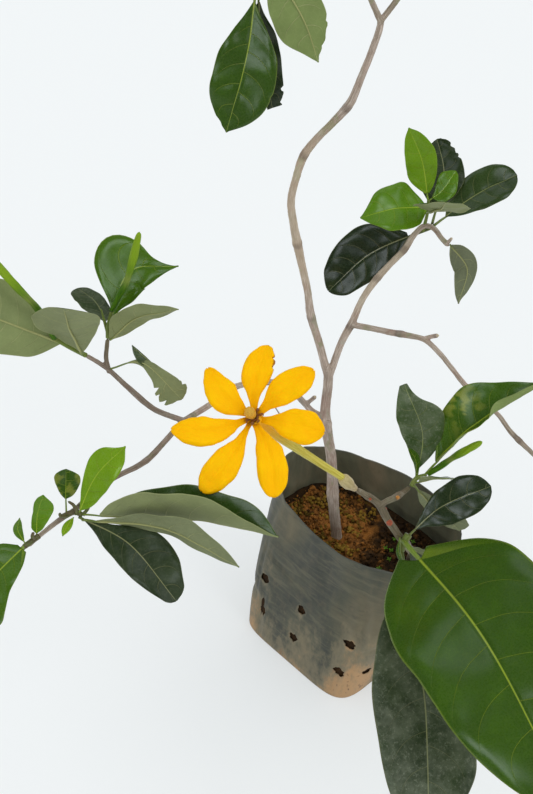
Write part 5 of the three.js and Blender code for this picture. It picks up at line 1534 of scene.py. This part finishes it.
class GARDENIA_OT_flower(bpy.types.Operator):
    """Add the open flower: calyx, petals and tube, stigma and anthers"""
    bl_idname = "gardenia.flower"
    bl_label = "Open flower"

    def execute(self, context):
        sizes = context.scene.gardenia_flower
        golden = petal(sizes)
        tube = striped("flower tube", (176, 162, 48), (206, 196, 92), (246, 182, 6), IOR=1.4)
        # Painted shade: the inside of the tube, where it turns in at the throat, is coloured dark brown.
        throat_shade = striped("flower throat painted shade", (92, 52, 14), (126, 76, 22), (104, 60, 18), IOR=1.4)
        shape = Shape()
        for number in range(len(LOBES)):
            add_lobe(shape, number, sizes)
        add_flower_tube(shape)
        place_on_frame(shape.make("corolla_petals", [golden, tube, throat_shade]), ["corolla"])
        self.calyx()
        self.stigma()
        self.anthers()
        return {"FINISHED"}

    def calyx(self):
        """The pale knob with its blunt ribs."""
        skin = striped("calyx skin", (150, 128, 92), (196, 176, 136), (186, 174, 112))
        shares = np.linspace(0, 1, 24)
        path = route_points(CALYX["route"], shares)[0]
        radius = np.interp(shares, (0, 0.25, 0.45, 0.8, 1), CALYX["radii"])
        angle = ring_angles(36)
        ribs = 1 + 0.09 * np.abs(np.cos(3 * angle))[None, :] * np.sin(math.pi * shares)[:, None] ** 0.5
        end = np.sqrt(np.clip(1 - np.maximum(0, (shares - 0.85) / 0.15) ** 2 * 0.3, 0, 1))
        shape = Shape()
        shape.tube(path, radius[:, None] * ribs * end[:, None], 36, 0, three(shares * 0.6))
        place_on_frame(shape.make("calyx_knob", [skin]), ["calyx"])

    def stigma(self):
        """The style and its ribbed club."""
        skin = striped("stigma skin", (176, 118, 18), (232, 176, 44), (236, 186, 56), 0.0006)
        height = np.linspace(-6.6, 12, 40)
        path = THROAT + FACING * height[:, None]
        path = path + unit(np.cross(FACING, (0.0, 1.0, 0.0)))[None] * (3.0 * smooth(height, 0, 11))[:, None]
        radius = np.interp(height, (-6.6, -1, 2, 4.5, 8, 10.6, 11.5, 12), (0.9, 0.9, 1.1, 2.3, 2.9, 2.5, 1.7, 0.5))
        angle = ring_angles(48)
        ribs = 1 + 0.09 * np.abs(np.cos(4 * angle))[None, :] * smooth(height, 3, 6)[:, None]
        reach = smooth(height, 2, 10)
        shape = Shape()
        shape.tube(path, radius[:, None] * ribs, 48, 0, three(reach * 0.4))
        place_on_frame(shape.make("stigma_club", [skin]), ["stigma"])

    def anthers(self):
        """The brown anthers that lie between the lobes, on their collar."""
        skin = striped("anther skin", (96, 54, 14), (160, 98, 30), (120, 70, 24))
        collar = THROAT + FACING * 2.6
        shape = Shape()
        first = unit(np.cross(FACING, (1.0, 0, 0)))
        second = np.cross(FACING, first)
        turn = np.linspace(0, 2 * math.pi, 33)
        ring = collar + (first * np.cos(turn)[:, None] + second * np.sin(turn)[:, None]) * 2.1
        shape.tube(ring, np.full(33, 0.55), 8, 0, (0.2, 0, 0))
        tips = [np.asarray(entry[0], float) for entry in LOBES]
        for n, (a, b) in enumerate(zip(tips, tips[1:] + tips[:1])):
            out = (a + b) / 2 - THROAT
            out = unit(out - (out @ FACING) * FACING)
            long = (4.2, 5.0, 3.4, 4.4, 4.8, 4.0, 3.6)[n]
            sag = (1.6, 0.4, 2.2, 1.0, 1.8, 0.6, 1.4)[n]
            route = [collar + out * 2.1, collar + out * (2 + long / 2) + FACING * 1.6,
                     collar + out * long - FACING * sag]
            shares = np.linspace(0, 1, 14)
            path = route_points(route, shares)[0]
            radius = np.interp(shares, (0, 0.5, 0.85, 1), (0.6, 0.9, 0.8, 0.2))
            shape.tube(path, radius, 10, 0, three(shares), squash=0.6)
        place_on_frame(shape.make("anther_ring", [skin]), ["anthers"])


class GARDENIA_OT_stage(bpy.types.Operator):
    """Add the pale floor, the soft studio light and the camera"""
    bl_idname = "gardenia.stage"
    bl_label = "Floor, light and camera"

    def execute(self, context):
        sizes = context.scene.gardenia_stage
        scene = context.scene
        f = Finish("pale floor", tuple(sizes.floor_colour) + (1,), Roughness=0.9, Specular_IOR_Level=0.0)
        f.shader.inputs["Base Color"].default_value = tuple(sizes.floor_colour) + (1,)
        f.shader.inputs["Emission Color"].default_value = tuple(sizes.floor_glow) + (1,)
        f.shader.inputs["Emission Strength"].default_value = 1.0
        shape = Shape()
        reach = np.geomspace(0.2, 14.0, 20)
        turn = ring_angles(64)
        points = three(reach[:, None] * np.cos(turn), reach[:, None] * np.sin(turn), -0.0003)
        faces = grid_faces(len(reach), 64, wrap=True, flip=True) + fan_faces(0, 64, len(reach) * 64)
        shape.add(np.vstack([points.reshape(-1, 3), points[0].mean(0)]), faces)
        shape.make("studio_floor", [f.material], scale=1.0)
        self.sky(scene, sizes)
        for name, aim, strength, width in (("key", (0.55, -0.50, 0.75), sizes.key_strength, 22),
                                           ("back", (0.3, 0.45, 0.84), sizes.back_strength, 40)):
            data = bpy.data.lights.new(name, "SUN")
            data.energy, data.angle = strength, math.radians(width)
            lamp = bpy.data.objects.new(name, data)
            scene.collection.objects.link(lamp)
            lamp.location = Vector(aim) * 2
            lamp.rotation_mode = "QUATERNION"
            lamp.rotation_quaternion = (-Vector(aim)).to_track_quat("-Z", "Y")
        data = bpy.data.cameras.new("camera")
        camera = bpy.data.objects.new("camera", data)
        scene.collection.objects.link(camera)
        camera.location = (-0.058, -0.569, 0.700)
        camera.rotation_euler = (math.radians(52), 0, 0)
        data.sensor_width, data.sensor_fit = 36.0, "AUTO"
        data.lens = 36.0 * 1000 / 794
        data.clip_start, data.clip_end = 0.01, 50.0
        scene.camera = camera
        scene.view_settings.view_transform = "Standard"
        scene.view_settings.look = "None"
        return {"FINISHED"}

    def sky(self, scene, sizes):
        """Even light from all round, as pale as the floor where it is seen, with a darker room in the gloss."""
        world = bpy.data.worlds.new("soft room")
        scene.world = world
        world.use_nodes = True
        g = Graph(world.node_tree)
        path = g.node("ShaderNodeLightPath").outputs
        seen = world.node_tree.nodes["Background"]
        seen.inputs["Color"].default_value = tuple(sizes.horizon_colour) + (1,)
        seen.inputs["Strength"].default_value = 1.0
        way = g.node("ShaderNodeTexCoord").outputs["Generated"]
        glow = sizes.gloss_room
        for aim, share in (((-0.42, -0.66, 0.62), 1.0), ((-0.3, 0.16, 0.94), 0.3), ((0.62, -0.3, 0.72), 0.5)):
            facing = g.node("ShaderNodeVectorMath", {0: way, 1: unit(np.array(aim))}, operation="DOT_PRODUCT")
            glow = g.band(facing.outputs["Value"], 0.955, 0.99, 0.0, share) * sizes.gloss_window + glow
        shine = g.node("ShaderNodeBackground", {"Color": (240, 245, 255), "Strength": glow})
        even = g.node("ShaderNodeBackground", {"Color": (246, 250, 252), "Strength": sizes.sky_strength})
        unseen = g.node("ShaderNodeMixShader", {0: path["Is Glossy Ray"], 1: even.outputs[0], 2: shine.outputs[0]})
        both = g.node("ShaderNodeMixShader", {0: path["Is Camera Ray"], 1: unseen.outputs[0], 2: seen.outputs[0]})
        g.put(world.node_tree.nodes["World Output"].inputs["Surface"], both.outputs[0])


STEPS = (GARDENIA_OT_stage, GARDENIA_OT_bag, GARDENIA_OT_soil, GARDENIA_OT_stems, GARDENIA_OT_leaves,
         GARDENIA_OT_buds, GARDENIA_OT_flower)
SETTINGS = {
    "gardenia_bag": GardeniaBagSettings, "gardenia_soil": GardeniaSoilSettings,
    "gardenia_stem": GardeniaStemSettings, "gardenia_leaf": GardeniaLeafSettings,
    "gardenia_flower": GardeniaFlowerSettings, "gardenia_stage": GardeniaStageSettings,
}


class GARDENIA_PT_panel(bpy.types.Panel):
    """The pieces of the potted gardenia and their settings"""
    bl_idname = "GARDENIA_PT_panel"
    bl_label = "Potted gardenia"
    bl_space_type = "VIEW_3D"
    bl_region_type = "UI"
    bl_category = "Gardenia"

    def draw(self, context):
        for step in STEPS:
            self.layout.operator(step.bl_idname)
        for key, group in SETTINGS.items():
            box = self.layout.box()
            for name in group.__annotations__:
                box.prop(getattr(context.scene, key), name)


CLASSES = (*SETTINGS.values(), *STEPS, GARDENIA_PT_panel)


def register():
    for cls in CLASSES:
        bpy.utils.register_class(cls)
    for key, group in SETTINGS.items():
        setattr(bpy.types.Scene, key, bpy.props.PointerProperty(type=group))


def unregister():
    for key in SETTINGS:
        delattr(bpy.types.Scene, key)
    for cls in reversed(CLASSES):
        bpy.utils.unregister_class(cls)


def main():
    register()
    for step in STEPS:
        area, action = step.bl_idname.split(".")
        getattr(getattr(bpy.ops, area), action)()
    bpy.context.view_layer.update()


if __name__ == "__main__":
    main()
